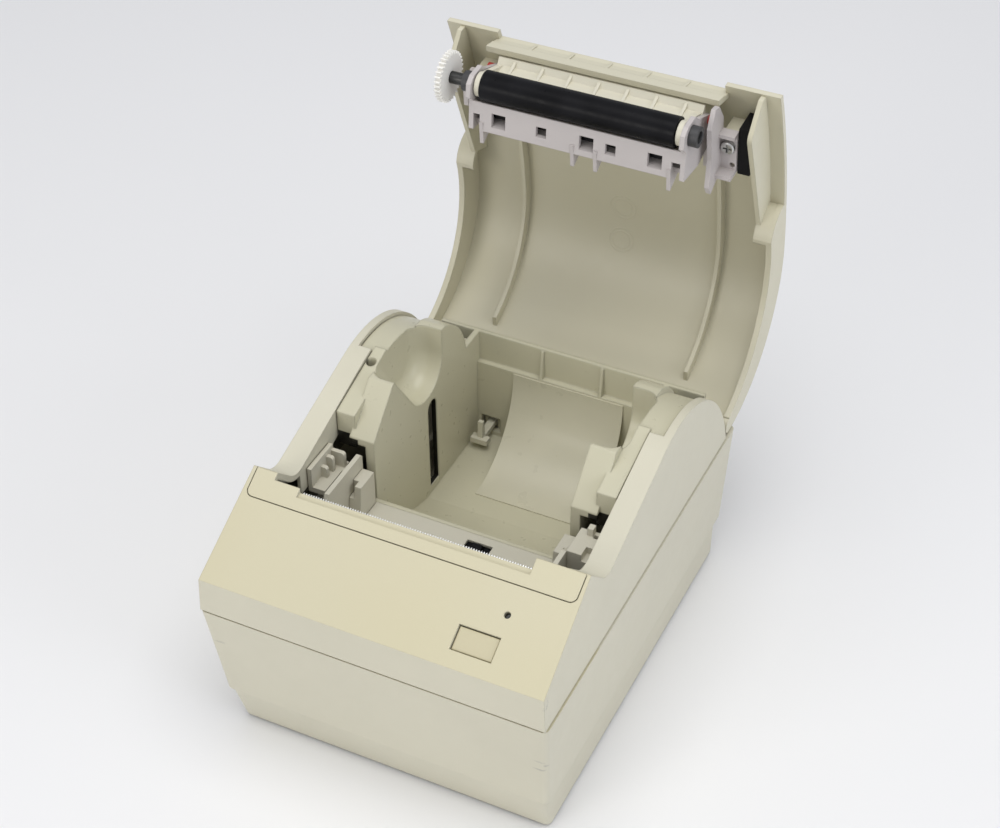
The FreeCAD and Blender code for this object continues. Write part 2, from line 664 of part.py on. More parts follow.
def cabinet_cuts():
    bottom = BAND_BOTTOM[1] - JOIN
    high = rail_top() + SPARE
    past = slope_length() + SPARE
    half_x = BUTTON_SIZE[0] / 2 + BUTTON_CLEAR
    half_s = BUTTON_SIZE[1] / 2 + BUTTON_CLEAR
    return [
        box(-RAIL_FRONT_INNER, RAIL_FRONT_INNER, SLOPE_TOP[0] - SEAM_GAP, JOG_Y + JOIN, bottom, high),
        box(-RAIL_REAR_INNER, RAIL_REAR_INNER, JOG_Y, BASE_DEPTH, bottom, high),
        knife_plate(GROOVE_GAP, SPARE),
        slope_box(-RAIL_FRONT_INNER, RAIL_FRONT_INNER, SLOPE_GROOVE + KNIFE_SHELF, past, -SPARE, SPARE),
        slope_box(BUTTON_CENTRE[0] - half_x, BUTTON_CENTRE[0] + half_x,
                  BUTTON_CENTRE[1] - half_s, BUTTON_CENTRE[1] + half_s, -SPARE, SPARE),
        slope_rod(LIGHT_X, LIGHT_S, LIGHT_RADIUS, -SPARE, SPARE),
    ]


def rail_skirt(side):
    # Wall that hangs from the inner edge of a front rail.
    y0, y1 = RAIL_SKIRT_Y
    path = [(y0, rail_z(y0, -JOIN)), (y1, rail_z(y1, -JOIN)), (y1, rail_z(y1, -RAIL_SKIRT_DROP)),
            (y0, rail_z(y0, -RAIL_SKIRT_DROP))]
    return section_x(path, *span(side, RAIL_FRONT_INNER, RAIL_FRONT_INNER + RAIL_SKIRT))


def upper_cabinet():
    bottom = BAND_BOTTOM[1]
    wide = CABINET_WIDTH
    outer = section_x(cabinet_section(0, bottom), -wide, wide).common(cabinet_sides(0))
    inner = section_x(cabinet_section(-WALL, bottom - JOIN), -wide, wide).common(cabinet_sides(WALL))
    shell = outer.cut(inner).cut(cabinet_cuts())
    shelf = slope_box(-KNIFE_HALF_WIDTH, KNIFE_HALF_WIDTH, SLOPE_GROOVE - KNIFE_SHELF_LAP,
                      SLOPE_GROOVE + KNIFE_SHELF, -KNIFE_THICK - KNIFE_SHELF, -KNIFE_THICK)
    posts = [rail_skirt(-1), rail_skirt(1)]
    holes = []
    for side in (-1, 1):
        x = side * SCREW_POST_X
        tie = span(side, SCREW_POST_X, CABINET_WIDTH / 2 - CABINET_TAPER)
        for y in SCREW_POST_Y:
            posts.append(rod_z(x, y, SCREW_POST_RADIUS, POST_JOIN_Z, POST_TOP_Z))
            posts.append(box(*tie, y - POST_TIE / 2, y + POST_TIE / 2, SEAM_Z + JOIN, POST_TOP_Z))
            holes.append(rod_z(x, y, BASE_SCREW_RADIUS, POST_JOIN_Z - JOIN, POST_JOIN_Z + BASE_SCREW_BITE))
    for s in PANEL_POST_S:
        board_top = PANEL_BOARD_THICK - PANEL_BOARD_DEPTH
        posts.append(slope_rod(PANEL_POST_X, s, PANEL_POST_RADIUS, board_top, -JOIN))
    return fuse([shell, shelf] + posts).cut(holes)


# Front panel pieces

def knife_plate(grow, top):
    # The outline of the knife cover with round front corners, also the shape of its pocket.
    half = KNIFE_HALF_WIDTH + grow
    start = SLOPE_GROOVE - grow
    plate = slope_box(-half, half, start, slope_length() + SPARE, -KNIFE_THICK, top)
    corners = []
    for edge in plate.Edges:
        middle = edge.CenterOfMass
        corner = slope_vector(math.copysign(half, middle.x), start, 0.5 * (top - KNIFE_THICK))
        if (middle - corner).Length < TOUCH:
            corners.append(edge)
    return plate.makeFillet(KNIFE_CORNER + grow, corners)


def knife_cover():
    past = slope_length() + SPARE
    rear = SLOPE_TOP[0]
    top = SLOPE_TOP[1]
    wide = KNIFE_HALF_WIDTH + JOIN
    behind = box(-wide, wide, rear, rear + SPARE, top - SPARE, top + SPARE)
    gear_front = PLATEN_AXIS[0] - tip_radius(PLATEN_TEETH) - MOVE_CLEAR
    gear_relief = box(GEAR_X - HUB_PROUD - MOVE_CLEAR, JOIN - NOTCH_HALF_WIDTH, gear_front, rear + JOIN,
                      top - SPARE, top + SPARE)
    notch = [slope_box(-NOTCH_HALF_WIDTH, NOTCH_HALF_WIDTH, NOTCH_START, past, -NOTCH_DEPTH, SPARE),
             slope_box(-NOTCH_HALF_WIDTH, NOTCH_HALF_WIDTH, NOTCH_END, past, -KNIFE_THICK - JOIN, SPARE)]
    thick, low, high = KNIFE_FLANGE
    flange = [box(*span(side, NOTCH_HALF_WIDTH, RAIL_FRONT_INNER - JOIN), rear - thick, rear,
                  top - low, top - high)
              for side in (-1, 1)]
    return fuse([knife_plate(0, 0).cut([behind] + notch)] + flange).cut(gear_relief)


def tear_bar():
    top = -KNIFE_THICK
    end = NOTCH_END
    half = TEAR_HALF_WIDTH
    points = [slope_vector(-half, TEAR_START, top), slope_vector(half, TEAR_START, top)]
    first = TOOTH_PITCH * TOOTH_COUNT / 2
    points.append(slope_vector(half, end, top))
    for index in range(TOOTH_COUNT):
        x = first - TOOTH_PITCH * index
        points.append(slope_vector(x, end, top))
        points.append(slope_vector(x - TOOTH_PITCH / 2, end + TOOTH_HEIGHT, top))
    points.append(slope_vector(-first, end, top))
    points.append(slope_vector(-half, end, top))
    points.append(points[0])
    normal = slope_frame()[1]
    return Part.Face(Part.makePolygon(points)).extrude(Vector(0, *normal) * -TEAR_THICK)


def feed_button():
    half_x = BUTTON_SIZE[0] / 2
    half_s = BUTTON_SIZE[1] / 2
    cap = slope_box(BUTTON_CENTRE[0] - half_x, BUTTON_CENTRE[0] + half_x, BUTTON_CENTRE[1] - half_s,
                    BUTTON_CENTRE[1] + half_s, -BUTTON_DEPTH, -BUTTON_SUNK)
    normal = Vector(0, *slope_frame()[1])
    face = slope_vector(BUTTON_CENTRE[0], BUTTON_CENTRE[1], -BUTTON_SUNK)
    top = [edge for edge in cap.Edges if abs((edge.CenterOfMass - face).dot(normal)) < TOUCH]
    return cap.makeFillet(BUTTON_ROUND, top)


def status_light():
    return slope_rod(LIGHT_X, LIGHT_S, LIGHT_RADIUS, PANEL_BOARD_THICK - PANEL_BOARD_DEPTH, -LIGHT_SUNK)


def panel_board():
    top = PANEL_BOARD_THICK - PANEL_BOARD_DEPTH
    return slope_box(*PANEL_BOARD_X, *PANEL_BOARD_S, -PANEL_BOARD_DEPTH, top)


def button_switch():
    top = PANEL_BOARD_THICK - PANEL_BOARD_DEPTH
    reach = -BUTTON_DEPTH - BUTTON_TRAVEL - BUTTON_CLEAR
    half = SWITCH_SIZE / 2
    body = slope_box(BUTTON_CENTRE[0] - half, BUTTON_CENTRE[0] + half, BUTTON_CENTRE[1] - half,
                     BUTTON_CENTRE[1] + half, top, 0.5 * (top + reach))
    return fuse([body, slope_rod(BUTTON_CENTRE[0], BUTTON_CENTRE[1], SWITCH_STEM, top, reach)])


# Paper bucket

def cheek_inner_section():
    rise_y = POST_TOP[0] - POST_RUN[0]
    crest_y = POST_TOP[0] - POST_RUN[1]
    floor_mid = (FLOOR_MID[0] - FLOOR_MID_UNDER[0] / 2, FLOOR_MID[1] - FLOOR_MID_UNDER[1] / 2)
    return [(floor_mid, (CHEEK_FRONT_Y, CHEEK_FOOT_Z)), (CHEEK_FRONT_Y, CHUTE_LOW_Z), PEAK,
            (rise_y, rail_z(rise_y, -CHEEK_SINK)),
            ((crest_y, rail_z(crest_y, -CHEEK_SINK)), POST_TOP),
            ((REAR_DROP[0] - REAR_BULGE[0], REAR_DROP[1] + REAR_BULGE[1]), REAR_DROP),
            (REAR_DROP[0], FLOOR_Z), (FLOOR_FLAT_Y, FLOOR_Z)]


def scoop_tool():
    # Finger hollow in the top of a cheek, open toward the paper: a smooth U with a rounded far end.
    x1 = BUCKET_HALF_WIDTH + CHEEK_INNER + SCOOP_REACH
    high = PEAK[1] + SPARE
    away = (PEAK[0] + SCOOP_BRIM - SCOOP_CENTRE[0], PEAK[1] - SCOOP_CENTRE[1])
    turn = math.degrees(math.acos(SCOOP_RADIUS / math.hypot(away[0], away[1])))
    start_angle = math.degrees(math.atan2(away[1], away[0])) + turn
    start = polar(SCOOP_CENTRE, SCOOP_RADIUS, start_angle)
    climb = (high - start[1]) / (PEAK[1] - start[1])
    top = (start[0] + climb * (PEAK[0] + SCOOP_BRIM - start[0]), high)
    middle = polar(SCOOP_CENTRE, SCOOP_RADIUS, 0.5 * (start_angle + 360))
    rear_y = SCOOP_CENTRE[0] + SCOOP_RADIUS
    path = [top, start, (middle, (rear_y, SCOOP_CENTRE[1])), (rear_y, high)]
    tool = section_x(path, BUCKET_HALF_WIDTH - WALL, x1)
    deep = [edge for edge in tool.Edges
            if abs(edge.CenterOfMass.x - x1) < TOUCH and edge.CenterOfMass.z < high - JOIN]
    return tool.makeFillet(SCOOP_ROUND, deep)


def cheek_hollow_top():
    return SCOOP_CENTRE[1] - SCOOP_RADIUS - WALL


def cheek_ridge(x0, x1):
    rear_y = JOG_Y + LINE_GAP + RIDGE_LAP
    ridge = section_x([(RIDGE_FRONT_Y, RIDGE_FOOT_Z), (RIDGE_FRONT_Y, rail_z(RIDGE_FRONT_Y, -RIDGE_SINK)),
                       (rear_y, rail_z(rear_y, -RIDGE_SINK)), (rear_y, RIDGE_FOOT_Z)], x0, x1)
    return ridge.cut(box(x0 + WALL, x1 - WALL, RIDGE_FRONT_Y + WALL, JOG_Y,
                         RIDGE_FOOT_Z - JOIN, RIDGE_HOLLOW_Z))


def cheek_crown(x0, x1):
    outer = RAIL_RADIUS - CHEEK_SINK
    inner = outer - CROWN_THICK
    first = math.degrees(math.acos((JOG_Y + LINE_GAP - RAIL_CENTRE[0]) / outer))
    last = CROWN_END_ANGLE
    middle = 0.5 * (first + last)
    return section_x([polar(RAIL_CENTRE, inner, first), polar(RAIL_CENTRE, outer, first),
                      rail_arc(-CHEEK_SINK, first, last), polar(RAIL_CENTRE, inner, last),
                      (polar(RAIL_CENTRE, inner, middle), polar(RAIL_CENTRE, inner, first))], x0, x1)


def scoop_back(x0, x1):
    # Wall behind the finger hollow.
    reach = SCOOP_RADIUS + WALL
    block = box(x0, x1, SCOOP_CENTRE[0] - reach, SCOOP_CENTRE[0] + reach, cheek_hollow_top(), rail_top())
    return block.common(rod_x(RAIL_CENTRE, RAIL_RADIUS - CHEEK_SINK, x0, x1))


def cheek():
    # Right-hand cheek beside the paper roll, hollow underneath.
    x0 = BUCKET_HALF_WIDTH
    x1 = x0 + CHEEK_INNER
    inner = section_x(cheek_inner_section(), x0, x1)
    inner = inner.cut(box(x0 + WALL, x1 + JOIN, CHEEK_FRONT_Y + WALL, REAR_DROP[0] - WALL, FLOOR_Z - JOIN,
                          cheek_hollow_top()))
    inner = inner.cut(box(x0 + CHEEK_POST, x1 + JOIN, CHEEK_FRONT_Y - JOIN, LEG_Y[0] - LEG_RADIUS - JOIN,
                          FLOOR_Z, CHUTE_LOW_Z - CHEEK_BEAM))
    ridge = cheek_ridge(x1 - CHEEK_SINK, RAIL_FRONT_INNER - LINE_GAP)
    crown = cheek_crown(x1 - CHEEK_SINK, RAIL_REAR_INNER - LINE_GAP)
    back = scoop_back(x1 - CHEEK_SINK, x1 + SCOOP_REACH + WALL)
    return fuse([inner, ridge, crown, back]).cut(scoop_tool())


def bucket_floor():
    x1 = BUCKET_HALF_WIDTH + WALL
    front = CHEEK_FRONT_Y - LEDGE_RUN
    under = (FLOOR_MID[0] - FLOOR_MID_UNDER[0], FLOOR_MID[1] - FLOOR_MID_UNDER[1])
    return section_x([(front, LEDGE_Z), (CHEEK_FRONT_Y, LEDGE_Z), (FLOOR_MID, (FLOOR_FLAT_Y, FLOOR_Z)),
                      (REAR_WALL_Y + JOIN, FLOOR_Z), (REAR_WALL_Y + JOIN, FLOOR_Z - WALL),
                      (FLOOR_FLAT_Y, FLOOR_Z - WALL), (under, (front, LEDGE_Z - LEDGE_DEPTH))], -x1, x1)


def bucket_rear():
    x1 = BUCKET_HALF_WIDTH
    out = x1 + WALL
    lower = box(-out, out, REAR_WALL_Y, BAND_WALL_Y, FLOOR_Z - WALL, BAND_LEDGE_Z)
    band = box(-out, out, BAND_WALL_Y, BAND_WALL_Y + BAND_WALL, BAND_LEDGE_Z - BAND_WALL_DROP, BAND_TOP_Z)
    pieces = [lower, band]
    foot = BAND_LEDGE_Z - JOIN
    top = BAND_TOP_Z - GUSSET_SHORT
    for x in GUSSET_X:
        pieces.append(section_x([(REAR_WALL_Y, foot), (BAND_WALL_Y + LINE_GAP, foot),
                                 (BAND_WALL_Y + LINE_GAP, top), (BAND_WALL_Y - LINE_GAP, top)],
                                x - GUSSET / 2, x + GUSSET / 2))
    for side in (-1, 1):
        pieces.append(box(*span(side, x1, out), REAR_DROP[0] - BAND_SIDE_LAP, BAND_WALL_Y + JOIN,
                          FLOOR_Z - WALL, BAND_TOP_Z))
        pieces.append(box(*span(side, x1, RAIL_FRONT_INNER), BAND_WALL_Y, BAND_WALL_Y + BAND_WALL,
                          BAND_TOP_Z - BAND_WING, BAND_TOP_Z))
        boss = span(side, x1, KNUCKLE_INNER_X - LINE_GAP)
        pieces.append(rod_x(HINGE, KNUCKLE_RADIUS, *boss))
        pieces.append(box(*boss, REAR_WALL_Y, HINGE[0], HINGE[1] - HINGE_BOSS_DROP, HINGE[1]))
    return pieces


def lever_lugs():
    lugs = []
    for x0 in (LEVER_NECK[0] - LINE_GAP - LUG, LEVER_NECK[1] + LINE_GAP):
        lugs.append(rod_x(LEVER_PIVOT, LEVER_EYE, x0, x0 + LUG))
        lugs.append(box(x0, x0 + LUG, BAND_WALL_Y, LEVER_PIVOT[0],
                        FLOOR_Z - WALL, LEVER_PIVOT[1] + LEVER_EYE))
    return lugs


def cheek_slot():
    # Upright slot with a round top in the left cheek.
    x0 = -BUCKET_HALF_WIDTH - WALL - JOIN
    x1 = JOIN - BUCKET_HALF_WIDTH
    slot = box(x0, x1, *SLOT_Y, *SLOT_Z)
    return slot.fuse(rod_x((sum(SLOT_Y) / 2, SLOT_Z[1]), (SLOT_Y[1] - SLOT_Y[0]) / 2, x0, x1))


def lever_slot():
    slot = box(LEVER_X[0] - LEVER_SLOT_SIDE[0], LEVER_X[1] + LEVER_SLOT_SIDE[1], REAR_WALL_Y - JOIN,
               BAND_WALL_Y + JOIN,
               LEVER_PAD_Z[0] - LEVER_SLOT_GROW, LEVER_PAD_Z[1] + LEVER_SLOT_GROW + LEVER_LIFT)
    return slot.cut(lever_lugs())


def paper_bucket():
    right = cheek()
    pieces = [right, mirrored(right), bucket_floor()] + bucket_rear() + lever_lugs()
    for x in (-LEG_X, LEG_X):
        for y in LEG_Y:
            pieces.append(rod_z(x, y, LEG_RADIUS, FLOOR_TOP, cheek_hollow_top() + JOIN))
    clip_hole = rod_z(LINE_GAP + CLIP_HOLE_RADIUS - RAIL_FRONT_INNER, CLIP_HOLE_Y, CLIP_HOLE_RADIUS,
                      RIDGE_HOLLOW_Z - JOIN, rail_top())
    return fuse(pieces).cut([cheek_slot(), lever_slot(), hinge_pin(-1), hinge_pin(1), lever_pin(), clip_hole])


def lever_pin():
    x0 = LEVER_NECK[0] - LINE_GAP - LUG
    x1 = LEVER_NECK[1] + LINE_GAP + LUG
    return rod_x(LEVER_PIVOT, LEVER_PIN_RADIUS, x0, x1)


def hinge_pin(side):
    return rod_x(HINGE, HINGE_PIN_RADIUS, *span(side, HINGE_PIN_INNER, HINGE_PIN_INNER + HINGE_PIN_LENGTH))


def paper_deflector():
    # Quarter-pipe of thin sheet from the rear wall down to the floor.
    centre = (REAR_WALL_Y - FILM_RADIUS, FLOOR_Z + FILM_RADIUS)
    inner = FILM_RADIUS - FILM
    end_y = centre[0] - FILM_FLAT
    return section_x([polar(centre, FILM_RADIUS, 0),
                      (polar(centre, FILM_RADIUS, -45), polar(centre, FILM_RADIUS, -90)),
                      (end_y, FLOOR_Z), (end_y, FLOOR_Z + FILM), polar(centre, inner, -90),
                      (polar(centre, inner, -45), polar(centre, inner, 0))], *FILM_X)


def low_paper_lever():
    pad = box(*LEVER_X, *LEVER_PAD_Y, *LEVER_PAD_Z)
    middle = sum(LEVER_X) / 2
    foot = LEVER_PAD_Z[0] + JOIN
    stem = section_x([(LEVER_PAD_Y[1] - LEVER_STEM, foot), (LEVER_PAD_Y[1], foot),
                      (LEVER_PAD_Y[1], LEVER_STEM_Z),
                      (LEVER_PAD_Y[1] - LEVER_STEM_TOP, LEVER_STEM_Z)],
                     middle - LEVER_STEM / 2, middle + LEVER_STEM / 2)
    half = LEVER_NECK_THICK / 2
    neck = box(*LEVER_NECK, LEVER_PAD_Y[1] - JOIN, LEVER_PIVOT[0],
               LEVER_PIVOT[1] - half, LEVER_PIVOT[1] + half)
    eye = rod_x(LEVER_PIVOT, LEVER_EYE, *LEVER_NECK)
    bore = rod_x(LEVER_PIVOT, LEVER_PIN_RADIUS + RUN_CLEAR, LEVER_NECK[0] - JOIN, LEVER_NECK[1] + JOIN)
    return fuse([pad, stem, neck, eye]).cut(bore)


def low_paper_sensor():
    x0 = LEVER_NECK[1] + LINE_GAP + LUG + LOW_SENSOR_GAP
    width, depth, height = LOW_SENSOR_SIZE
    low = LEVER_PIVOT[1] - height / 2
    return box(x0, x0 + width, BAND_WALL_Y, BAND_WALL_Y + depth, low, low + height)


# Mechanism

def bush_slot(x0, x1):
    # Open slot that takes a platen bush as the lid comes down.
    y, z = PLATEN_AXIS
    r = BUSH_RADIUS + MOVE_CLEAR
    top = MECH_TOP_Z + JOIN
    mouth = section_x([(y - r, z), (y + r, z), (y + r + SLOT_FLARE, top), (y - r, top)], x0, x1)
    return mouth.fuse(rod_x(PLATEN_AXIS, r, x0, x1))


def mechanism_side(x0, corner):
    front_top = MECH_TOP_Z - MECH_FRONT_DROP
    side = section_x([(MECH_FRONT_Y, MECH_FLOOR_Z), (MECH_REAR_Y, MECH_FLOOR_Z),
                      (MECH_REAR_Y, MECH_TOP_Z - corner[1]), (MECH_REAR_Y - corner[0], MECH_TOP_Z),
                      (MECH_FRONT_Y + MECH_FRONT_RUN, MECH_TOP_Z), (MECH_FRONT_Y, front_top)],
                     x0, x0 + MECH_PLATE)
    return side.cut(bush_slot(x0 - JOIN, x0 + MECH_PLATE + JOIN))


def mechanism_frame():
    outer = MECH_OUTER_X
    floor_top = MECH_FLOOR_Z + MECH_PLATE
    front_top = MECH_TOP_Z - MECH_FRONT_DROP
    pieces = [box(-outer, outer, MECH_FRONT_Y, MECH_REAR_Y, MECH_FLOOR_Z, floor_top),
              box(-outer, outer, MECH_FRONT_Y, MECH_FRONT_Y + MECH_PLATE, MECH_FLOOR_Z, front_top),
              mechanism_side(-outer, MECH_CORNER_LEFT), mechanism_side(MECH_PLATE_X, MECH_CORNER_RIGHT)]
    for x in (-FRAME_PLATE_X, FRAME_PLATE_X):
        for y in MECH_LEG_Y:
            pieces.append(box(x - MECH_LEG / 2, x + MECH_LEG / 2, y, y + MECH_LEG,
                              FLOOR_TOP, MECH_FLOOR_Z + JOIN))
    for y in GUIDE_RIB_Y:
        pieces.append(box(-GUIDE_HALF_WIDTH, GUIDE_HALF_WIDTH, y, y + GUIDE_RIB,
                          floor_top - LINE_GAP, GUIDE_Z - GUIDE_THICK))
    pieces.append(box(-outer, -MECH_PLATE_X, MOTOR_AXIS[0] - MOTOR_RADIUS, MOTOR_AXIS[0] + MOTOR_RADIUS,
                      MOTOR_AXIS[1] - MOTOR_RADIUS, MECH_FLOOR_Z + JOIN))
    shaft_hole = rod_x(MOTOR_AXIS, MOTOR_SHAFT_RADIUS + MOVE_CLEAR, -outer - JOIN, JOIN - MECH_PLATE_X)
    pin_hole = rod_x(idler_axis(), IDLER_PIN_RADIUS, -outer - JOIN, JOIN - MECH_PLATE_X)
    return fuse(pieces).cut([shaft_hole, pin_hole])


def paper_guide_plate():
    y0 = GUIDE_FRONT_Y
    z0 = GUIDE_Z
    under = GUIDE_Z - GUIDE_THICK
    sag = GUIDE_SAG * GUIDE_BEND
    plate = section_x([(y0, z0 + GUIDE_BEND), ((y0 + sag, z0 + sag), (y0 + GUIDE_BEND, z0)),
                       (GUIDE_REAR_Y, z0), (GUIDE_REAR_Y, under), (y0 + GUIDE_BEND, under),
                       ((y0 - GUIDE_THICK / 2, z0 - GUIDE_THICK / 2), (y0 - GUIDE_THICK, z0 + GUIDE_BEND))],
                      -GUIDE_HALF_WIDTH, GUIDE_HALF_WIDTH)
    wide, deep, high = SENSOR_SIZE
    return plate.cut(box(SENSOR_X - wide / 2, SENSOR_X + wide / 2, SENSOR_Y - deep / 2, SENSOR_Y + deep / 2,
                         GUIDE_Z - high, GUIDE_Z + high))


def paper_out_sensor():
    wide, deep, high = SENSOR_SIZE
    front = SENSOR_Y - deep / 2
    rear = SENSOR_Y + deep / 2
    top = GUIDE_Z - GUIDE_THICK - MOVE_CLEAR
    body = box(SENSOR_X - wide / 2, SENSOR_X + wide / 2, front, rear, MECH_FLOOR_Z + MECH_PLATE, top)
    flag = section_x([(front, top - MOVE_CLEAR), (rear, top - MOVE_CLEAR),
                      (SENSOR_Y + JOIN, GUIDE_Z + high - JOIN)],
                     SENSOR_X - SENSOR_FLAG / 2, SENSOR_X + SENSOR_FLAG / 2)
    return fuse([body, flag])


def head_face_y():
    return PLATEN_AXIS[0] - ROLLER_RADIUS - MOVE_CLEAR


def thermal_printhead():
    y1 = head_face_y()
    z0 = PLATEN_AXIS[1] - HEAD_HEIGHT / 2
    return box(-HEAD_LENGTH / 2, HEAD_LENGTH / 2, y1 - HEAD_THICK, y1, z0, z0 + HEAD_HEIGHT)


def printhead_heatsink():
    y1 = head_face_y() - HEAD_THICK
    y0 = y1 - HEAT_SINK_THICK
    z0 = PLATEN_AXIS[1] - HEAD_HEIGHT / 2 - HEAT_SINK_DROP
    pieces = [box(-HEAD_LENGTH / 2, HEAD_LENGTH / 2, y0, y1, z0, PLATEN_AXIS[1] + HEAD_HEIGHT / 2)]
    for side in (-1, 1):
        pieces.append(box(*span(side, HEAD_LENGTH / 2, MECH_PLATE_X), y0, y1, z0, z0 + HEAT_SINK_TAB))
    return fuse(pieces)


def head_springs():
    y0 = MECH_FRONT_Y + MECH_PLATE
    y1 = head_face_y() - HEAD_THICK - HEAT_SINK_THICK
    return Part.makeCompound([rod_y(x, SPRING_Z, SPRING_RADIUS, y0, y1) for x in SPRING_X])


def guide_block(side):
    front, rear = BLOCK_Y
    outer = BLOCK_HALF_INNER + BLOCK_WIDTH
    z0 = MECH_FLOOR_Z + MECH_PLATE
    block = section_x([(front - BLOCK_LEAN, z0), (rear, z0), (rear, BLOCK_TOP_Z), (front, BLOCK_TOP_Z)],
                      *span(side, BLOCK_HALF_INNER, outer))
    wide, deep, high = BLOCK_NOTCH
    return block.cut(box(*span(side, outer - wide, outer + JOIN), front - BLOCK_LEAN - JOIN, front + deep,
                         BLOCK_TOP_Z - high, BLOCK_TOP_Z + JOIN))


def cover_top():
    # The drive cover hangs under the rail, measured where its first fin stands.
    return rail_z(FIN_Y[0], -WALL) - COVER_SINK


def cover_fin(y, height, width):
    top = cover_top() + height
    x1 = COVER_X[0] + width
    fin = box(COVER_X[0], x1, y, y + FIN, cover_top() - LINE_GAP, top)
    corner = [edge for edge in fin.Edges
              if abs(edge.CenterOfMass.z - top) < TOUCH and abs(edge.CenterOfMass.x - x1) < TOUCH]
    return fin.makeFillet(FIN_ROUND, corner)


def drive_cover():
    top = cover_top()
    floor = box(*COVER_X, *COVER_Y, top - COVER_THICK, top)
    rear, front, drop = COVER_TIE
    tie = box(COVER_X[1] - JOIN, -MECH_OUTER_X, COVER_Y[1] - rear, COVER_Y[1] - front,
              top - COVER_THICK - drop, top)
    spine = box(COVER_X[0], COVER_X[0] + FIN, COVER_Y[0], FIN_Y[-1] + FIN, top - LINE_GAP, top + SPINE_HEIGHT)
    fins = [cover_fin(y, height, width) for y, height, width in zip(FIN_Y, FIN_HEIGHT, FIN_WIDTH)]
    return fuse([floor, tie, spine] + fins)


def latch_block():
    # Stepped block right of the mechanism, with an upright tab and a small square hole.
    x1 = LATCH_X[1]
    y0, y1 = LATCH_Y
    top = LATCH_Z[1]
    wide, deep, high = LATCH_TAB
    tab = box(LATCH_TAB_X, LATCH_TAB_X + wide, y1 - deep, y1, top - JOIN, top + high)
    block = fuse([box(*LATCH_X, *LATCH_Y, *LATCH_Z), tab])
    wide, deep, high = LATCH_STEP
    step = box(x1 - wide, x1 + JOIN, y0 - JOIN, y0 + deep, top - high, top + JOIN)
    wide, deep, high = LATCH_HOLE
    hole_x = x1 - LATCH_STEP[0] / 2
    hole = box(hole_x - wide, hole_x, y1 - 2 * deep, y1 - deep, top - high, top + JOIN)
    return block.cut([step, hole])


# Gears

def gear(axis, teeth, x0, bore, first_angle):
    # A spur gear with the middle of one tooth at first_angle.
    root = GEAR_MODULE * (teeth / 2 - ROOT_DEPTH)
    tip = tip_radius(teeth)
    outline = ((-TOOTH_ROOT, root), (-TOOTH_TIP, tip), (TOOTH_TIP, tip), (TOOTH_ROOT, root))
    step = 360.0 / teeth
    points = []
    for index in range(teeth):
        for share, radius in outline:
            points.append(Vector(x0, *polar(axis, radius, first_angle + (index + share) * step)))
    points.append(points[0])
    body = Part.Face(Part.makePolygon(points)).extrude(Vector(GEAR_THICK, 0, 0))
    return body.cut(rod_x(axis, bore, x0 - JOIN, x0 + GEAR_THICK + JOIN))


def tip_radius(teeth):
    return GEAR_MODULE * (teeth / 2 + 1)


def idler_axis():
    # In mesh with the pinion, and just clear of the platen gear when the lid is shut.
    to_platen = tip_radius(PLATEN_TEETH) + tip_radius(IDLER_TEETH) + TIP_CLEAR
    to_motor = GEAR_MODULE * (PINION_TEETH + IDLER_TEETH) / 2 + MESH_PLAY
    dy = MOTOR_AXIS[0] - PLATEN_AXIS[0]
    dz = MOTOR_AXIS[1] - PLATEN_AXIS[1]
    gap = math.hypot(dy, dz)
    along = (to_platen ** 2 - to_motor ** 2 + gap ** 2) / (2 * gap)
    aside = math.sqrt(to_platen ** 2 - along ** 2)
    return (PLATEN_AXIS[0] + (dy * along - dz * aside) / gap,
            PLATEN_AXIS[1] + (dz * along + dy * aside) / gap)


def platen_gear():
    x0 = GEAR_X - HUB_PROUD
    x1 = GEAR_X + GEAR_THICK
    hub = rod_x(PLATEN_AXIS, SHAFT_RADIUS + HUB_WALL, x0, x1)
    wheel = gear(PLATEN_AXIS, PLATEN_TEETH, GEAR_X, SHAFT_RADIUS, 0)
    return fuse([wheel, hub.cut(rod_x(PLATEN_AXIS, SHAFT_RADIUS, x0 - JOIN, x1 + JOIN))])


def mesh_angle():
    # Direction from the idler to the pinion.
    axis = idler_axis()
    return math.degrees(math.atan2(MOTOR_AXIS[1] - axis[1], MOTOR_AXIS[0] - axis[0]))


def idler_gear():
    return gear(idler_axis(), IDLER_TEETH, GEAR_X, IDLER_PIN_RADIUS + RUN_CLEAR, mesh_angle())


def idler_pin():
    x0 = GEAR_X - IDLER_CAP
    pin = rod_x(idler_axis(), IDLER_PIN_RADIUS, x0, -MECH_PLATE_X)
    cap = rod_x(idler_axis(), IDLER_PIN_RADIUS + IDLER_CAP_WALL, x0, GEAR_X - MOVE_CLEAR)
    return fuse([pin, cap])


def motor_pinion():
    shaft = rod_x(MOTOR_AXIS, MOTOR_SHAFT_RADIUS, GEAR_X, -MECH_PLATE_X - MOVE_CLEAR)
    gap_angle = mesh_angle() + 180 + 180.0 / PINION_TEETH
    return fuse([gear(MOTOR_AXIS, PINION_TEETH, GEAR_X, MOTOR_SHAFT_RADIUS, gap_angle), shaft])


def feed_motor():
    x0 = -MECH_PLATE_X
    body = rod_x(MOTOR_AXIS, MOTOR_RADIUS, x0, x0 + MOTOR_LENGTH)
    return body.cut(rod_x(MOTOR_AXIS, MOTOR_SHAFT_RADIUS + MOVE_CLEAR, x0 - JOIN, x0 + MOTOR_POCKET))


# Lid and platen, drawn shut

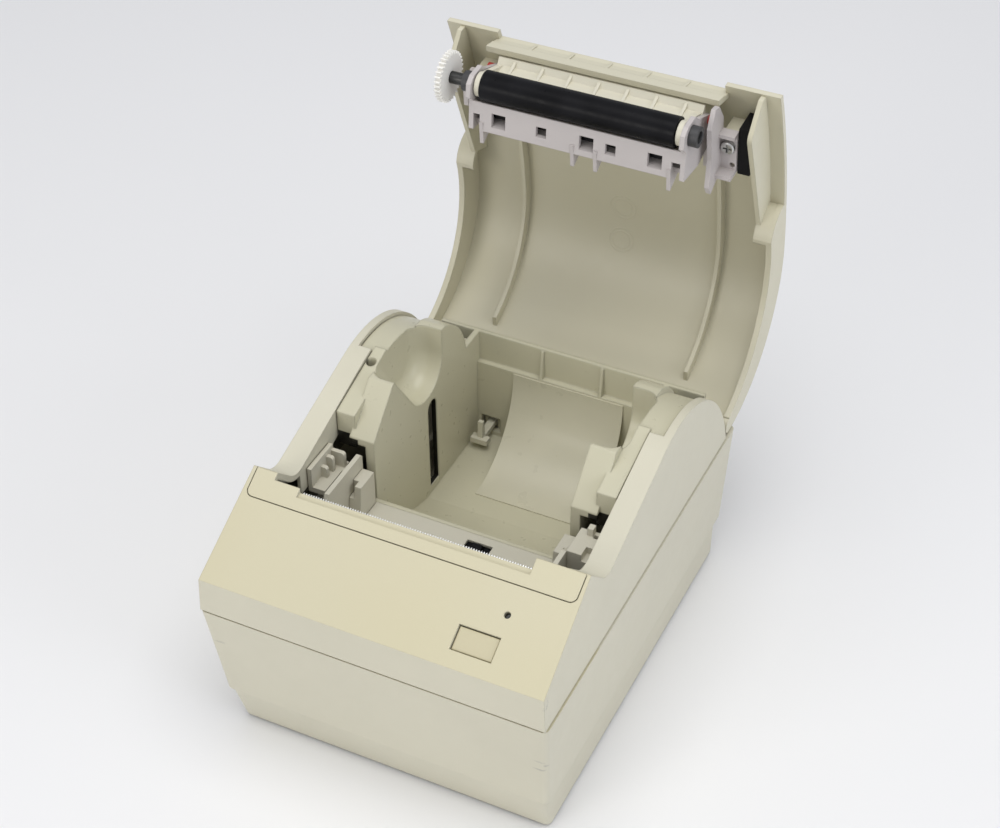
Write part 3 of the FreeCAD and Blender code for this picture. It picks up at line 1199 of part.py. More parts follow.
def lid_front_arc():
    # Centre and radius of the long front arc: it leaves the rear arc smoothly and ends at the front edge.
    blend = polar(LID_CENTRE, LID_REAR_RADIUS, LID_BLEND_ANGLE)
    dy = blend[0] - LID_FRONT[0]
    dz = blend[1] - LID_FRONT[1]
    angle = math.radians(LID_BLEND_ANGLE)
    fall = dy * math.cos(angle) + dz * math.sin(angle)
    radius = (dy ** 2 + dz ** 2) / (2 * fall)
    return polar(blend, -radius, LID_BLEND_ANGLE), radius


def lid_z(y, grow):
    centre, radius = lid_front_arc()
    return centre[1] + math.sqrt((radius + grow) ** 2 - (y - centre[0]) ** 2)


def lid_curve(grow, front_y, end_z):
    # Outer lid line from the front edge over the top to the rear, pushed out by grow.
    radius = LID_REAR_RADIUS + grow
    blend = polar(LID_CENTRE, radius, LID_BLEND_ANGLE)
    half_y = 0.5 * (front_y + blend[0])
    rear_angle = math.degrees(math.asin(max(0.0, end_z - LID_CENTRE[1]) / radius))
    path = [(front_y, lid_z(front_y, grow)), ((half_y, lid_z(half_y, grow)), blend),
            (polar(LID_CENTRE, radius, 0.5 * (LID_BLEND_ANGLE + rear_angle)),
             polar(LID_CENTRE, radius, rear_angle))]
    if end_z < LID_CENTRE[1]:
        path.append((LID_CENTRE[0] + radius, end_z))
    return path


def reversed_path(path):
    points = [step[-1] if isinstance(step[0], tuple) else step for step in path]
    result = [points[-1]]
    for index in range(len(path) - 1, 0, -1):
        step = path[index]
        result.append((step[0], points[index - 1]) if isinstance(step[0], tuple) else points[index - 1])
    return result


def lid_band(outer_grow, inner_grow, front_y, end_z, x0, x1):
    outer = lid_curve(outer_grow, front_y, end_z)
    inner = reversed_path(lid_curve(inner_grow, front_y, end_z))
    return section_x(outer + inner, x0, x1)


def lid_side_wall(x0, x1):
    rim = RAIL_RADIUS + LID_RIM_GAP
    end_angle = math.degrees(math.asin((HINGE[1] - RAIL_CENTRE[1]) / rim))
    start = polar(RAIL_CENTRE, rim, SIDE_WALL_ANGLE)
    path = [start, rail_arc(LID_RIM_GAP, SIDE_WALL_ANGLE, end_angle)]
    path += reversed_path(lid_curve(0, SIDE_WALL_START, HINGE[1]))
    path.append(((SIDE_WALL_START + POCKET_BULGE[0], start[1] + POCKET_BULGE[1]), start))
    return section_x(path, x0, x1)


def pocket_end(x0, x1):
    # Curved wall that closes the rear of the grip pocket under each ear.
    start = polar(RAIL_CENTRE, RAIL_RADIUS + LID_RIM_GAP, SIDE_WALL_ANGLE)
    y0 = SIDE_WALL_START
    z0 = lid_z(y0, -JOIN)
    bulge = (y0 + POCKET_BULGE[0], start[1] + POCKET_BULGE[1])
    inner_bulge = (bulge[0] + POCKET_WALL, bulge[1] + JOIN)
    return section_x([start, (bulge, (y0, z0)), (y0 + POCKET_WALL, z0),
                      (inner_bulge, (start[0] + POCKET_WALL, start[1] + MOVE_CLEAR))], x0, x1)


def inset_wall(x0, x1):
    front = LID_FRONT[0] + JOIN
    rise_end = polar(RAIL_CENTRE, RAIL_RADIUS + INSET_RISE, 90 + RISE_ANGLE)
    rear = rise_end[0] + INSET_RUN
    middle = 0.5 * (front + rear)
    path = [(front, lid_z(front, -JOIN)), meet(drop_line(INSET_RISE), (1.0, 0.0, front))]
    path += dip_path(INSET_RISE) + [rise_end, (rear, lid_z(rear, -JOIN))]
    path.append(((middle, lid_z(middle, -JOIN)), (front, lid_z(front, -JOIN))))
    return section_x(path, x0, x1)


def lid_lip():
    # Front edge of the lid: a band with a ribbed step above it.
    back_y = LID_FRONT[0] + LIP_SETBACK
    low_y, low_z = LIP_BOTTOM
    top = (back_y, lid_z(back_y, -SEAM_GAP))
    step = (low_y + LIP_BAND * (top[0] - low_y), low_z + LIP_BAND * (top[1] - low_z))
    back = [(top[0] + LIP_THICK[1], top[1]), (low_y + LIP_THICK[0], low_z)]
    sunk = [(step[0] + LIP_STEP, step[1]), (top[0] + LIP_STEP, top[1])]
    x1 = EAR_INNER_X + JOIN
    pieces = [section_x([LIP_BOTTOM, step] + sunk + back, -x1, x1)]
    for x in LIP_RIB_X:
        pieces.append(section_x([LIP_BOTTOM, top] + back, x - LIP_RIB / 2, x + LIP_RIB / 2))
    return pieces


def frame_boss(side):
    # Block inside the lid that takes a screw of the platen frame.
    front = ARM_Y[0] + FRAME_BOSS_FRONT
    rear = ARM_Y[1] + FRAME_BOSS_REAR
    return section_x([(front, FRAME_TOP_Z), (ARM_Y[1] - JOIN, FRAME_TOP_Z), (rear, lid_z(rear, -JOIN)),
                      (front, lid_z(front, -JOIN))],
                     *span(side, FRAME_SCREW_X - FRAME_BOSS[0], FRAME_SCREW_X + FRAME_BOSS[1]))


def lid_side(side):
    half = LID_HALF_WIDTH
    rib = span(side, INNER_RIB_X, INNER_RIB_X + INNER_RIB)
    return [lid_side_wall(*span(side, half - WALL, half)),
            inset_wall(*span(side, INSET_WALL_X, INSET_WALL_X + INSET_WALL)),
            pocket_end(*span(side, INSET_WALL_X, half)),
            rod_x(HINGE, KNUCKLE_RADIUS, *span(side, KNUCKLE_INNER_X, half)),
            lid_band(LINE_GAP - WALL, -WALL - INNER_RIB_HEIGHT, FRAME_REAR_Y + INNER_RIB_GAP,
                     INNER_RIB_END_Z, *rib),
            frame_boss(side)]


def lid_shell():
    half = LID_HALF_WIDTH
    skin = lid_band(0, -WALL, LID_FRONT[0], HINGE[1], -half, half)
    skin = skin.cut(box(-EAR_INNER_X, EAR_INNER_X, LID_FRONT[0] - SPARE, LID_FRONT[0] + LIP_SETBACK,
                        LID_FRONT[1] - SPARE, LID_FRONT[1] + SPARE))
    shell = fuse([skin] + lid_lip() + lid_side(-1) + lid_side(1))
    inner = KNUCKLE_INNER_X
    cuts = [rod_x(HINGE, KNUCKLE_RADIUS + MOVE_CLEAR, -inner, inner),
            box(-inner, inner, HINGE[0] - SPARE, HINGE[0] + SPARE, HINGE[1] - SPARE, HINGE[1])]
    pin_end = HINGE_PIN_INNER + HINGE_PIN_LENGTH + JOIN
    screw_end = FRAME_TOP_Z + FRAME_SCREW_LENGTH - WALL
    for side in (-1, 1):
        cuts.append(rod_x(HINGE, HINGE_PIN_RADIUS + RUN_CLEAR, *span(side, inner - JOIN, pin_end)))
        cuts.append(rod_z(side * FRAME_SCREW_X, FRAME_SCREW_Y, FRAME_SCREW_RADIUS,
                          FRAME_TOP_Z - JOIN, screw_end))
    return shell.cut(cuts)


def moved(outline, origin):
    return [(origin[0] + y, origin[1] + z) for y, z in outline]


def frame_end_plate(x0, x1):
    y, z = PLATEN_AXIS
    path = moved(END_PLATE_FRONT, PLATEN_AXIS)
    path += [(y + END_PLATE_TOP, FRAME_TOP_Z), (FRAME_REAR_Y, FRAME_TOP_Z),
             (FRAME_REAR_Y + END_PLATE_REAR[0], z + END_PLATE_REAR[1]), WEB_REAR, WEB_FRONT]
    path += moved(END_PLATE_LOW, PLATEN_AXIS)
    return section_x(path, x0, x1)


def web_fin(x):
    y, z = WEB_REAR
    return section_x([(y - 2 * WEB, z), (WEB_FIN_TIP, z), (y + JOIN, z + WEB_FIN_HEIGHT),
                      (y - WEB, z + WEB_FIN_HEIGHT)],
                     x - WEB_FIN / 2, x + WEB_FIN / 2)


def platen_frame():
    x1 = FRAME_PLATE_X + FRAME_PLATE
    corner = (ARM_Y[0], FRAME_TOP_Z)
    web = [WEB_FRONT, WEB_REAR, (WEB_REAR[0], WEB_REAR[1] + WEB), (WEB_FRONT[0], WEB_FRONT[1] + WEB)]
    pieces = [section_x(web, -x1, x1),
              box(-x1, x1, FRAME_REAR_Y - WEB, FRAME_REAR_Y, WEB_REAR[1] + JOIN, FRAME_TOP_Z),
              frame_end_plate(-x1, -FRAME_PLATE_X),
              frame_end_plate(FRAME_PLATE_X, x1),
              section_x(moved(RIGHT_BRACKET, corner), BRACKET_X, BRACKET_X + FRAME_PLATE),
              section_x(moved(LEFT_BRACKET, corner), -ARM_REACH - FRAME_PLATE, -ARM_REACH)]
    pieces += [web_fin(x) for x in WEB_FIN_X]
    for y, drop in ARM_FLANGES:
        y0 = ARM_Y[0] + y
        pieces.append(box(BRACKET_X, ARM_REACH, y0, y0 + ARM_FLANGE, FRAME_TOP_Z - drop, FRAME_TOP_Z))
    cuts = [rod_x(PLATEN_AXIS, BUSH_RADIUS, -x1 - JOIN, x1 + JOIN),
            rod_x(PLATEN_AXIS, ROLLER_RADIUS + MOVE_CLEAR, -FRAME_PLATE_X, FRAME_PLATE_X)]
    for side in (-1, 1):
        pieces.append(box(*span(side, FRAME_PLATE_X, ARM_REACH), *ARM_Y, FRAME_TOP_Z - WEB, FRAME_TOP_Z))
        cuts.append(rod_z(side * FRAME_SCREW_X, FRAME_SCREW_Y, FRAME_SCREW_RADIUS, FRAME_TOP_Z - WEB - JOIN,
                          FRAME_TOP_Z + JOIN))
    inset, along, radius = ARM_HOLE
    cuts.append(rod_z(ARM_REACH - inset, ARM_Y[0] + along, radius,
                      FRAME_TOP_Z - WEB - JOIN, FRAME_TOP_Z + JOIN))
    for x, size in zip(WINDOW_X, WINDOW_SIZE):
        half = size / 2
        cuts.append(box(x - half, x + half, WINDOW_Y - half, WINDOW_Y + half,
                        WEB_REAR[1] - WEB, WEB_REAR[1] + 3 * WEB))
    for side, x in ((-1, WEB_FIN_X[0]), (1, WEB_FIN_X[-1])):
        cuts.append(box(*span(side, abs(x) + WEB_FIN / 2, FRAME_PLATE_X),
                        WEB_REAR[0] - WEB_NOTCH, WEB_FIN_TIP, WEB_REAR[1] - WEB, WEB_REAR[1] + 2 * WEB))
    return fuse(pieces).cut(cuts)


def frame_liner():
    # Dark strip behind the windows of the web.
    rear = WEB_REAR[0] - 2 * WEB - MOVE_CLEAR
    low = WEB_FRONT[1] + WEB + LINE_GAP
    return box(-FRAME_PLATE_X, FRAME_PLATE_X, rear - LINER_DEPTH, rear, low, low + LINER_THICK)


def lid_catch():
    # Dark block in the lid right of the platen frame, shaped to the inside of the lid.
    y0, y1 = CATCH_Y
    middle = 0.5 * (y0 + y1)
    low = FRAME_TOP_Z - CATCH_DROP
    roof = ((middle, lid_z(middle, -WALL)), (y0, lid_z(y0, -WALL)))
    return section_x([(y0, low), (y1, low), (y1, lid_z(y1, -WALL)), roof],
                     FRAME_SCREW_X + FRAME_BOSS[1] + MOVE_CLEAR, INSET_WALL_X - MOVE_CLEAR)


def platen_bush(side):
    x0, x1 = span(side, FRAME_PLATE_X, FRAME_PLATE_X + BUSH_LENGTH)
    ring = rod_x(PLATEN_AXIS, BUSH_RADIUS, x0, x1)
    return ring.cut(rod_x(PLATEN_AXIS, SHAFT_RADIUS + RUN_CLEAR, x0 - JOIN, x1 + JOIN))


def guide_bar():
    # A shelf behind the roller with a sloping crest, low ribs and an eye around the shaft at each end.
    y0 = BAR_FRONT_Y
    step = y0 + BAR_STEP
    y1 = y0 + BAR_DEPTH
    x1 = FRAME_PLATE_X
    crest_z = BAR_TOP_Z - BAR_CREST
    pieces = [section_x([(y0, crest_z), (y0, BAR_TOP_Z), (y1, BAR_TOP_Z), (y1, BAR_LOW_Z),
                         (step, BAR_LOW_Z), (step, BAR_BEND_Z)], -x1, x1)]
    rib_z = BAR_BEND_Z + (crest_z - BAR_BEND_Z) * BAR_RIB_HEIGHT / BAR_STEP
    rib = [(step - BAR_RIB_HEIGHT, rib_z), (step, BAR_BEND_Z - BAR_RIB_REACH),
           (step + JOIN, BAR_BEND_Z - BAR_RIB_REACH), (step + JOIN, rib_z)]
    for index in range(BAR_RIB_COUNT):
        x = (index - (BAR_RIB_COUNT - 1) / 2) * BAR_RIB_PITCH
        pieces.append(section_x(rib, x - BAR_RIB / 2, x + BAR_RIB / 2))
    axis_y, axis_z = PLATEN_AXIS
    arm = [(axis_y - BAR_EYE, axis_z), (step, BAR_BEND_Z), (y1 - JOIN, BAR_BEND_Z),
           (axis_y + BAR_EYE, axis_z)]
    bores = []
    for side in (-1, 1):
        pieces.append(box(*span(side, x1 - BAR_TAB, x1), y1 - JOIN, FRAME_REAR_Y - WEB,
                          BAR_TAB_Z, BAR_TOP_Z))
        eye = span(side, ROLLER_LENGTH / 2 + MOVE_CLEAR, x1 - MOVE_CLEAR)
        pieces += [rod_x(PLATEN_AXIS, BAR_EYE, *eye), section_x(arm, *eye)]
        bores.append(rod_x(PLATEN_AXIS, SHAFT_RADIUS + MOVE_CLEAR, *span(side, ROLLER_LENGTH / 2, x1)))
    return fuse(pieces).cut(bores)


def end_clips():
    x0 = FRAME_PLATE_X + FRAME_PLATE
    clips = [rod_x(CLIP_AXIS, CLIP_RADIUS, *span(side, x0, x0 + CLIP_LENGTH)) for side in (-1, 1)]
    return Part.makeCompound(clips)


def frame_screws():
    # Pan-head screws with a cross recess, driven up into the lid bosses.
    under = FRAME_TOP_Z - WEB
    low = under - FRAME_SCREW_HEAD_HEIGHT
    wide, length, deep = SCREW_CROSS
    screws = []
    for x in (-FRAME_SCREW_X, FRAME_SCREW_X):
        head = rod_z(x, FRAME_SCREW_Y, FRAME_SCREW_HEAD, low, under)
        crown = [edge for edge in head.Edges if abs(edge.CenterOfMass.z - low) < TOUCH]
        head = head.makeFillet(FRAME_SCREW_ROUND, crown)
        shank = rod_z(x, FRAME_SCREW_Y, FRAME_SCREW_RADIUS, under - JOIN, under + FRAME_SCREW_LENGTH - WALL)
        cross = [box(x - dx / 2, x + dx / 2, FRAME_SCREW_Y - dy / 2, FRAME_SCREW_Y + dy / 2,
                     low - JOIN, low + deep)
                 for dx, dy in ((wide, length), (length, wide))]
        screws.append(fuse([head, shank]).cut(cross))
    return Part.makeCompound(screws)


def platen_roller():
    half = ROLLER_LENGTH / 2
    tube = rod_x(PLATEN_AXIS, ROLLER_RADIUS, -half, half)
    return tube.cut(rod_x(PLATEN_AXIS, SHAFT_RADIUS, -half - JOIN, half + JOIN))


def platen_shaft():
    return rod_x(PLATEN_AXIS, SHAFT_RADIUS, SHAFT_LEFT, SHAFT_RIGHT)


# Electronics

def main_board():
    return box(-BOARD_HALF_WIDTH, BOARD_HALF_WIDTH, BOARD_Y[0], BOARD_Y[1], BOARD_Z, BOARD_Z + BOARD_THICK)


def board_components():
    top = BOARD_Z + BOARD_THICK
    pieces = []
    for x, y, width, length, height in CHIPS:
        x0 = x - width / 2
        y0 = BOARD_Y[0] + y - length / 2
        pieces.append(box(x0, x0 + width, y0, y0 + length, top, top + height))
    for x, y in CANS:
        pieces.append(rod_z(x, BOARD_Y[0] + y, CAN_RADIUS, top, top + CAN_HEIGHT))
    return Part.makeCompound(pieces)


def rear_socket(index):
    # A plain socket body with an open mouth toward the back.
    x = SOCKET_X[index]
    half = SOCKET_WIDTH[index] / 2
    z0 = BOARD_Z + BOARD_THICK
    z1 = z0 + SOCKET_HEIGHT[index]
    rim = SOCKET_RIM
    body = box(x - half, x + half, SOCKET_FACE_Y - SOCKET_DEPTH, SOCKET_FACE_Y, z0, z1)
    return body.cut(box(x - half + rim, x + half - rim, SOCKET_FACE_Y - SOCKET_MOUTH, SOCKET_FACE_Y + JOIN,
                        z0 + rim, z1 - rim))


# Assembly

def fixed_pieces():
    pieces = {
        "base_case": base_case(),
        "rubber_feet": rubber_feet(),
        "base_screws": base_screws(),
        "upper_cabinet": upper_cabinet(),
        "knife_cover": knife_cover(),
        "tear_bar": tear_bar(),
        "status_light": status_light(),
        "panel_board": panel_board(),
        "button_switch": button_switch(),
        "feed_button": feed_button(),
        "paper_bucket": paper_bucket(),
        "paper_deflector": paper_deflector(),
        "low_paper_lever": low_paper_lever(),
        "lever_pin": lever_pin(),
        "low_paper_sensor": low_paper_sensor(),
        "hinge_pin_left": hinge_pin(-1),
        "hinge_pin_right": hinge_pin(1),
        "mechanism_frame": mechanism_frame(),
        "paper_guide_plate": paper_guide_plate(),
        "paper_out_sensor": paper_out_sensor(),
        "thermal_printhead": thermal_printhead(),
        "printhead_heatsink": printhead_heatsink(),
        "head_springs": head_springs(),
        "guide_block_left": guide_block(-1),
        "guide_block_right": guide_block(1),
        "drive_cover": drive_cover(),
        "latch_block": latch_block(),
        "idler_gear": idler_gear(),
        "idler_pin": idler_pin(),
        "motor_pinion": motor_pinion(),
        "feed_motor": feed_motor(),
        "main_board": main_board(),
        "board_components": board_components(),
    }
    for index, name in enumerate(("power_socket", "serial_socket", "usb_socket", "drawer_socket")):
        pieces[name] = rear_socket(index)
    return pieces


def lid_pieces():
    return {
        "lid_shell": lid_shell(),
        "platen_frame": platen_frame(),
        "frame_liner": frame_liner(),
        "lid_catch": lid_catch(),
        "guide_bar": guide_bar(),
        "end_clips": end_clips(),
        "frame_screws": frame_screws(),
        "platen_bush_left": platen_bush(-1),
        "platen_bush_right": platen_bush(1),
        "platen_roller": platen_roller(),
        "platen_shaft": platen_shaft(),
        "platen_gear": platen_gear(),
    }


def rest_point(y, z):
    # Where a point of the shut lid lands once the lid stands open.
    angle = math.radians(-LID_OPEN_ANGLE)
    dy = y - HINGE[0]
    dz = z - HINGE[1]
    return (HINGE[0] + dy * math.cos(angle) - dz * math.sin(angle),
            HINGE[1] + dy * math.sin(angle) + dz * math.cos(angle))


def middle_y():
    # Half way from the front wall to the rearmost reach of the open lid.
    return (rest_point(*LID_CENTRE)[0] + LID_REAR_RADIUS) / 2


def assembly():
    pieces = fixed_pieces()
    for name, shape in lid_pieces().items():
        shape.rotate(Vector(0, *HINGE), Vector(1, 0, 0), -LID_OPEN_ANGLE)
        pieces[name] = shape
    for shape in pieces.values():
        shape.translate(Vector(0, -middle_y(), 0))
    return pieces


def main():
    os.makedirs("parts", exist_ok=True)
    for name, shape in assembly().items():
        shape.exportStep("parts/" + name + ".step")


if __name__ == "__main__":
    main()
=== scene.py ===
import json
import math

import bpy
from mathutils import Matrix, Vector

# Looks of the receipt printer: materials, stage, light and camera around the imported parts.
# Metres, X to the right, Y to the back, Z up.

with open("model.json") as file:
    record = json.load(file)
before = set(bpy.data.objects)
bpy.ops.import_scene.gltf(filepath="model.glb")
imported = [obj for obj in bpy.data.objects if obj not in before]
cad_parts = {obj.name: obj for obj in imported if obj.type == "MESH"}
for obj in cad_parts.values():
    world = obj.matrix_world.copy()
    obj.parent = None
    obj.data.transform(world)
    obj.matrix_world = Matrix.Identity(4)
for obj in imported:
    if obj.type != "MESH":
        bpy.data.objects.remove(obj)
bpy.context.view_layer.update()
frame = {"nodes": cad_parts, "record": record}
parts = frame["nodes"]

# Camera, as fitted to the photograph
CAMERA_PLACE = Vector((0.2751, -0.56384, 0.6282))
CAMERA_AZIMUTH = math.radians(26.25)
CAMERA_ELEVATION = math.radians(39.92)
CAMERA_ROLL = math.radians(-0.68)
CAMERA_LENS = 74.38
SENSOR_WIDTH = 36.0
NEAREST_SEEN = 0.01

# Soft lights: place, width, power in watts, colour
AIM_POINT = (0.0, 0.0, 0.1)
SOFTBOXES = {
    "overhead": ((0.15, -0.25, 1.5), 1.3, 12.0, (1.0, 0.99, 0.97)),
    "front_fill": ((-0.6, -1.5, 0.58), 0.75, 6.2, (1.0, 0.965, 0.90)),
    "side_fill": ((1.5, -0.3, 0.7), 1.0, 5.3, (0.96, 0.97, 1.0)),
}
SKY_COLOUR = (0.93, 0.95, 1.0)
SKY_STRENGTH = 0.54
FLOOR_REACH = 4.0

# Colours, linear
CREAM = (0.605, 0.58, 0.465)
CREAM_AGED = (0.565, 0.52, 0.35)
CREAM_LID = (0.62, 0.59, 0.455)
# Darker cream painted on the faces inside the lid as shade
CREAM_LID_PAINTED_SHADE = (0.515, 0.486, 0.36)
# The bucket's greener cream, darkened as painted shade for its sunken well
CREAM_BUCKET_SHADED = (0.545, 0.522, 0.39)
BUTTON_CREAM = (0.525, 0.48, 0.325)
PALE_GREY = (0.56, 0.535, 0.44)
LILAC_GREY = (0.50, 0.465, 0.455)
IVORY = (0.69, 0.66, 0.545)
NYLON = (0.86, 0.85, 0.81)
FILM = (0.59, 0.565, 0.44)
DARK_GREY = (0.045, 0.045, 0.047)
BLACK = (0.005, 0.005, 0.006)
RUBBER_BLACK = (0.006, 0.006, 0.007)
FOOT_BLACK = (0.02, 0.02, 0.02)
CERAMIC = (0.05, 0.045, 0.04)
SCUFF_GREY = (0.34, 0.33, 0.29)
# Tint of the soil and painted shade in corners
SOIL_AND_SHADE_TINT = (0.50, 0.44, 0.34)
STEEL = (0.60, 0.60, 0.59)
BRIGHT_STEEL = (0.88, 0.88, 0.87)
DARK_STEEL = (0.30, 0.30, 0.30)
BLACK_STEEL = (0.07, 0.07, 0.07)
ALUMINIUM = (0.70, 0.70, 0.71)
BRASS = (0.62, 0.46, 0.18)
RED = (0.42, 0.035, 0.025)
BOARD_GREEN = (0.02, 0.10, 0.035)
LENS_GREEN = (0.02, 0.022, 0.015)
FLOOR_WHITE = (0.83, 0.83, 0.838)

# Places on the object, metres
SCUFFS = (
    ((0.0680, -0.1144, 0.0475), 0.004),
    ((-0.0672, -0.1181, 0.0534), 0.004),
    ((0.0715, -0.1180, 0.0836), 0.004),
)
UPPER_RING = (-0.0002, 0.1157, 0.1305)
LOWER_RING = (-0.0001, 0.1147, 0.1143)
LID_RINGS = (
    (UPPER_RING, 0.0058),
    (UPPER_RING, 0.0041),
    (LOWER_RING, 0.0055),
    (LOWER_RING, 0.0040),
)
RING_LINE = 0.00035
RING_RISE = 0.00012
PANEL_END_Y = (-0.070, -0.074)

# Boxes around what lies unlit behind an opening, where the colour is painted dark as shade, low corner
# and high corner, metres
CASE_SHADE_BOXES = (((-0.0703, -0.100, 0.045), (0.0703, 0.060, 0.086)),)
BUCKET_SHADE_BOXES = (
    ((-0.0470, 0.0120, 0.036), (-0.0430, 0.0212, 0.084)),
    ((-0.0640, -0.0345, 0.050), (-0.0497, -0.0285, 0.0968)),
    ((0.0497, -0.0345, 0.050), (0.0640, -0.0285, 0.0968)),
)

# Depth of the surface grain and radius of the softened edges, metres
PLASTIC_GRAIN = 0.00004
SMOOTH_GRAIN = 0.000006
LENS_GRAIN = 0.000005
METAL_GRAIN = 0.00001
ROLLER_GRAIN = 0.00001
FOOT_GRAIN = 0.00005
TRACE_RISE = 0.00003
FILM_RIPPLE = 0.00006
BUCKET_EDGE = 0.0012
SHELL_EDGE = 0.0005
FRAME_EDGE = 0.0003
SMALL_EDGE = 0.0002
TOOTH_EDGE = 0.00015
CORNER_REACH = 0.004
STAIN_REACH = 0.002

# Noise patterns: scale and detail
AGED_PATCHES = (9.0, 2.0)
MOTTLE = (22.0, 4.0)
SOIL_PATCHES = (90.0, 4.0)
PLASTIC_SHEEN = (260.0, 4.0)
SCRATCHES = (420.0, 4.0)
PLASTIC_PORES = (1500.0, 3.0)
METAL_STREAKS = (60.0, 4.0)
METAL_LINES = (900.0, 2.0)
RUBBER_DUST = (60.0, 5.0)
RUBBER_SHEEN = (320.0, 4.0)
RUBBER_PORES = (2200.0, 3.0)
FILM_CLOUD = (30.0, 5.0)
FILM_WAVES = (40.0, 2.0)
FILM_SHEEN = (120.0, 4.0)
BOARD_PATCHES = (45.0, 4.0)
BOARD_SHEEN = (300.0, 3.0)
FLOOR_CLOUD = (1.5, 3.0)

# Stretch of a pattern along X, Y and Z
EVEN = (1, 1, 1)
GROUND_ALONG_X = (1, 12, 12)
DRAWN_ALONG_X = (1, 20, 20)
DRAWN_ACROSS_X = (20, 1, 1)
PRESSED_FLAT = (1, 1, 10)
SCRATCHED_SIDEWAYS = (0.25, 1, 1.6)
WAVED_ALONG_X = (1, 3, 3)

# Where a noise pattern begins and where it is full
MIDDLE = (0.3, 0.7)
WIDE = (0.25, 0.8)
UPPER = (0.35, 0.7)
SOILED = (0.3, 0.75)
STREAKED = (0.2, 0.8)
SCRATCHED = (0.56, 0.66)

# How open a place is, from 1 in the open to 0 when shut in, where soil with painted shade, and stain,
# begin and are full
CORNER_OPENNESS = (0.7, 0.15)
STAIN_OPENNESS = (0.75, 0.15)

# Strength of the looks
BEVEL_SAMPLES = 4
OPENNESS_SAMPLES = 6
AGED_SLOPE = (0.2, 0.8)
AGED_AMOUNT = (0.6, 1.0)
INSIDE_FACING = (-0.2, -0.6)
INSIDE_WALL_FACING = (-0.3, -0.7)
BOX_RIM = (1.0, 0.98)
SCUFF_CORE = 0.3
SOIL_AND_SHADE_AMOUNT = (0.1, 0.4)
STAIN_AMOUNT = 0.5
UNLIT_SHADE = 0.03
MOTTLE_SHADES = (0.975, 1.025)
STREAK_SHADES = (0.82, 1.1)
STAIN_SHADE = 0.3
DUST_SHADE = 1.9
FILM_SHADES = (0.95, 1.05)
BOARD_SHADE = 0.8
TRACE_SHADE = 1.8
FLOOR_SHADE = 0.985
PLASTIC_IOR = 1.46
PLASTIC_ROUGH_SPREAD = (-0.03, 0.03)
METAL_ROUGH_SPREAD = (-0.08, 0.12)
RUBBER_ROUGH_SPREAD = (-0.08, 0.08)
FILM_ROUGH = (0.26, 0.36)
BOARD_ROUGH = (0.28, 0.42)
FLOOR_ROUGH = 0.75
FLOOR_GLOSS = 0.25
TRACE_SCALE = 90.0
TRACE_WIDTH = 0.05


# Node helpers


def start_material(name):
    material = bpy.data.materials.new(name)
    material.use_nodes = True
    tree = material.node_tree
    shader = next(n for n in tree.nodes if n.type == "BSDF_PRINCIPLED")
    return material, tree, shader


def add(tree, kind, **values):
    node = tree.nodes.new(kind)
    for key, value in values.items():
        if hasattr(node, key):
            setattr(node, key, value)
        else:
            node.inputs[key.replace("_", " ").title()].default_value = value
    return node


def place(tree):
    return add(tree, "ShaderNodeTexCoord").outputs["Object"]


def noise(tree, pattern, stretch=EVEN):
    scale, detail = pattern
    mapping = add(tree, "ShaderNodeMapping")
    mapping.inputs["Scale"].default_value = stretch
    tree.links.new(place(tree), mapping.inputs["Vector"])
    texture = add(tree, "ShaderNodeTexNoise", scale=scale, detail=detail)
    tree.links.new(mapping.outputs["Vector"], texture.inputs["Vector"])
    return texture.outputs["Fac"]


def spread(tree, value, low, high, out_low=0.0, out_high=1.0):
    node = add(tree, "ShaderNodeMapRange")
    node.inputs["From Min"].default_value = low
    node.inputs["From Max"].default_value = high
    node.inputs["To Min"].default_value = out_low
    node.inputs["To Max"].default_value = out_high
    tree.links.new(value, node.inputs["Value"])
    return node.outputs["Result"]


def maths(tree, operation, first, second):
    node = add(tree, "ShaderNodeMath", operation=operation)
    for socket, value in zip(node.inputs, (first, second)):
        if isinstance(value, (int, float)):
            socket.default_value = value
        else:
            tree.links.new(value, socket)
    return node.outputs["Value"]


def mix(tree, factor, first, second):
    node = add(tree, "ShaderNodeMix", data_type="RGBA")
    colours = [s for s in node.inputs if s.type == "RGBA"]
    for socket, value in zip(colours, (first, second)):
        if isinstance(value, tuple):
            socket.default_value = (*value, 1.0)
        else:
            tree.links.new(value, socket)
    tree.links.new(factor, node.inputs[0])
    return next(s for s in node.outputs if s.type == "RGBA")


def shade(colour, amount):
    return tuple(min(1.0, c * amount) for c in colour)


def drift(tree, factor, tone, shades):
    # Runs between a darker and a lighter shade of one tone.
    return mix(tree, factor, shade(tone, shades[0]), shade(tone, shades[1]))


def around(roughness, ends):
    return roughness + ends[0], roughness + ends[1]


def tinted(colour, tint):
    return tuple(c * t for c, t in zip(colour, tint))


def grain_normal(tree, height, depth, edge_radius):
    # A fine surface grain over softly rounded edges.
    bevel = add(tree, "ShaderNodeBevel", samples=BEVEL_SAMPLES)
    bevel.inputs["Radius"].default_value = edge_radius
    return raised_normal(tree, bevel.outputs["Normal"], height, depth)


def raised_normal(tree, normal, height, depth):
    bump = add(tree, "ShaderNodeBump")
    bump.inputs["Distance"].default_value = depth
    tree.links.new(height, bump.inputs["Height"])
    if normal:
        tree.links.new(normal, bump.inputs["Normal"])
    return bump.outputs["Normal"]


def hollow_mask(tree, reach, openness):
    # 1 deep in corners and gaps, 0 in the open.
    node = add(tree, "ShaderNodeAmbientOcclusion", samples=OPENNESS_SAMPLES)
    node.inputs["Distance"].default_value = reach
    return spread(tree, node.outputs["AO"], *openness)


def axes(tree, vector):
    split = add(tree, "ShaderNodeSeparateXYZ")
    tree.links.new(vector, split.inputs["Vector"])
    return split.outputs


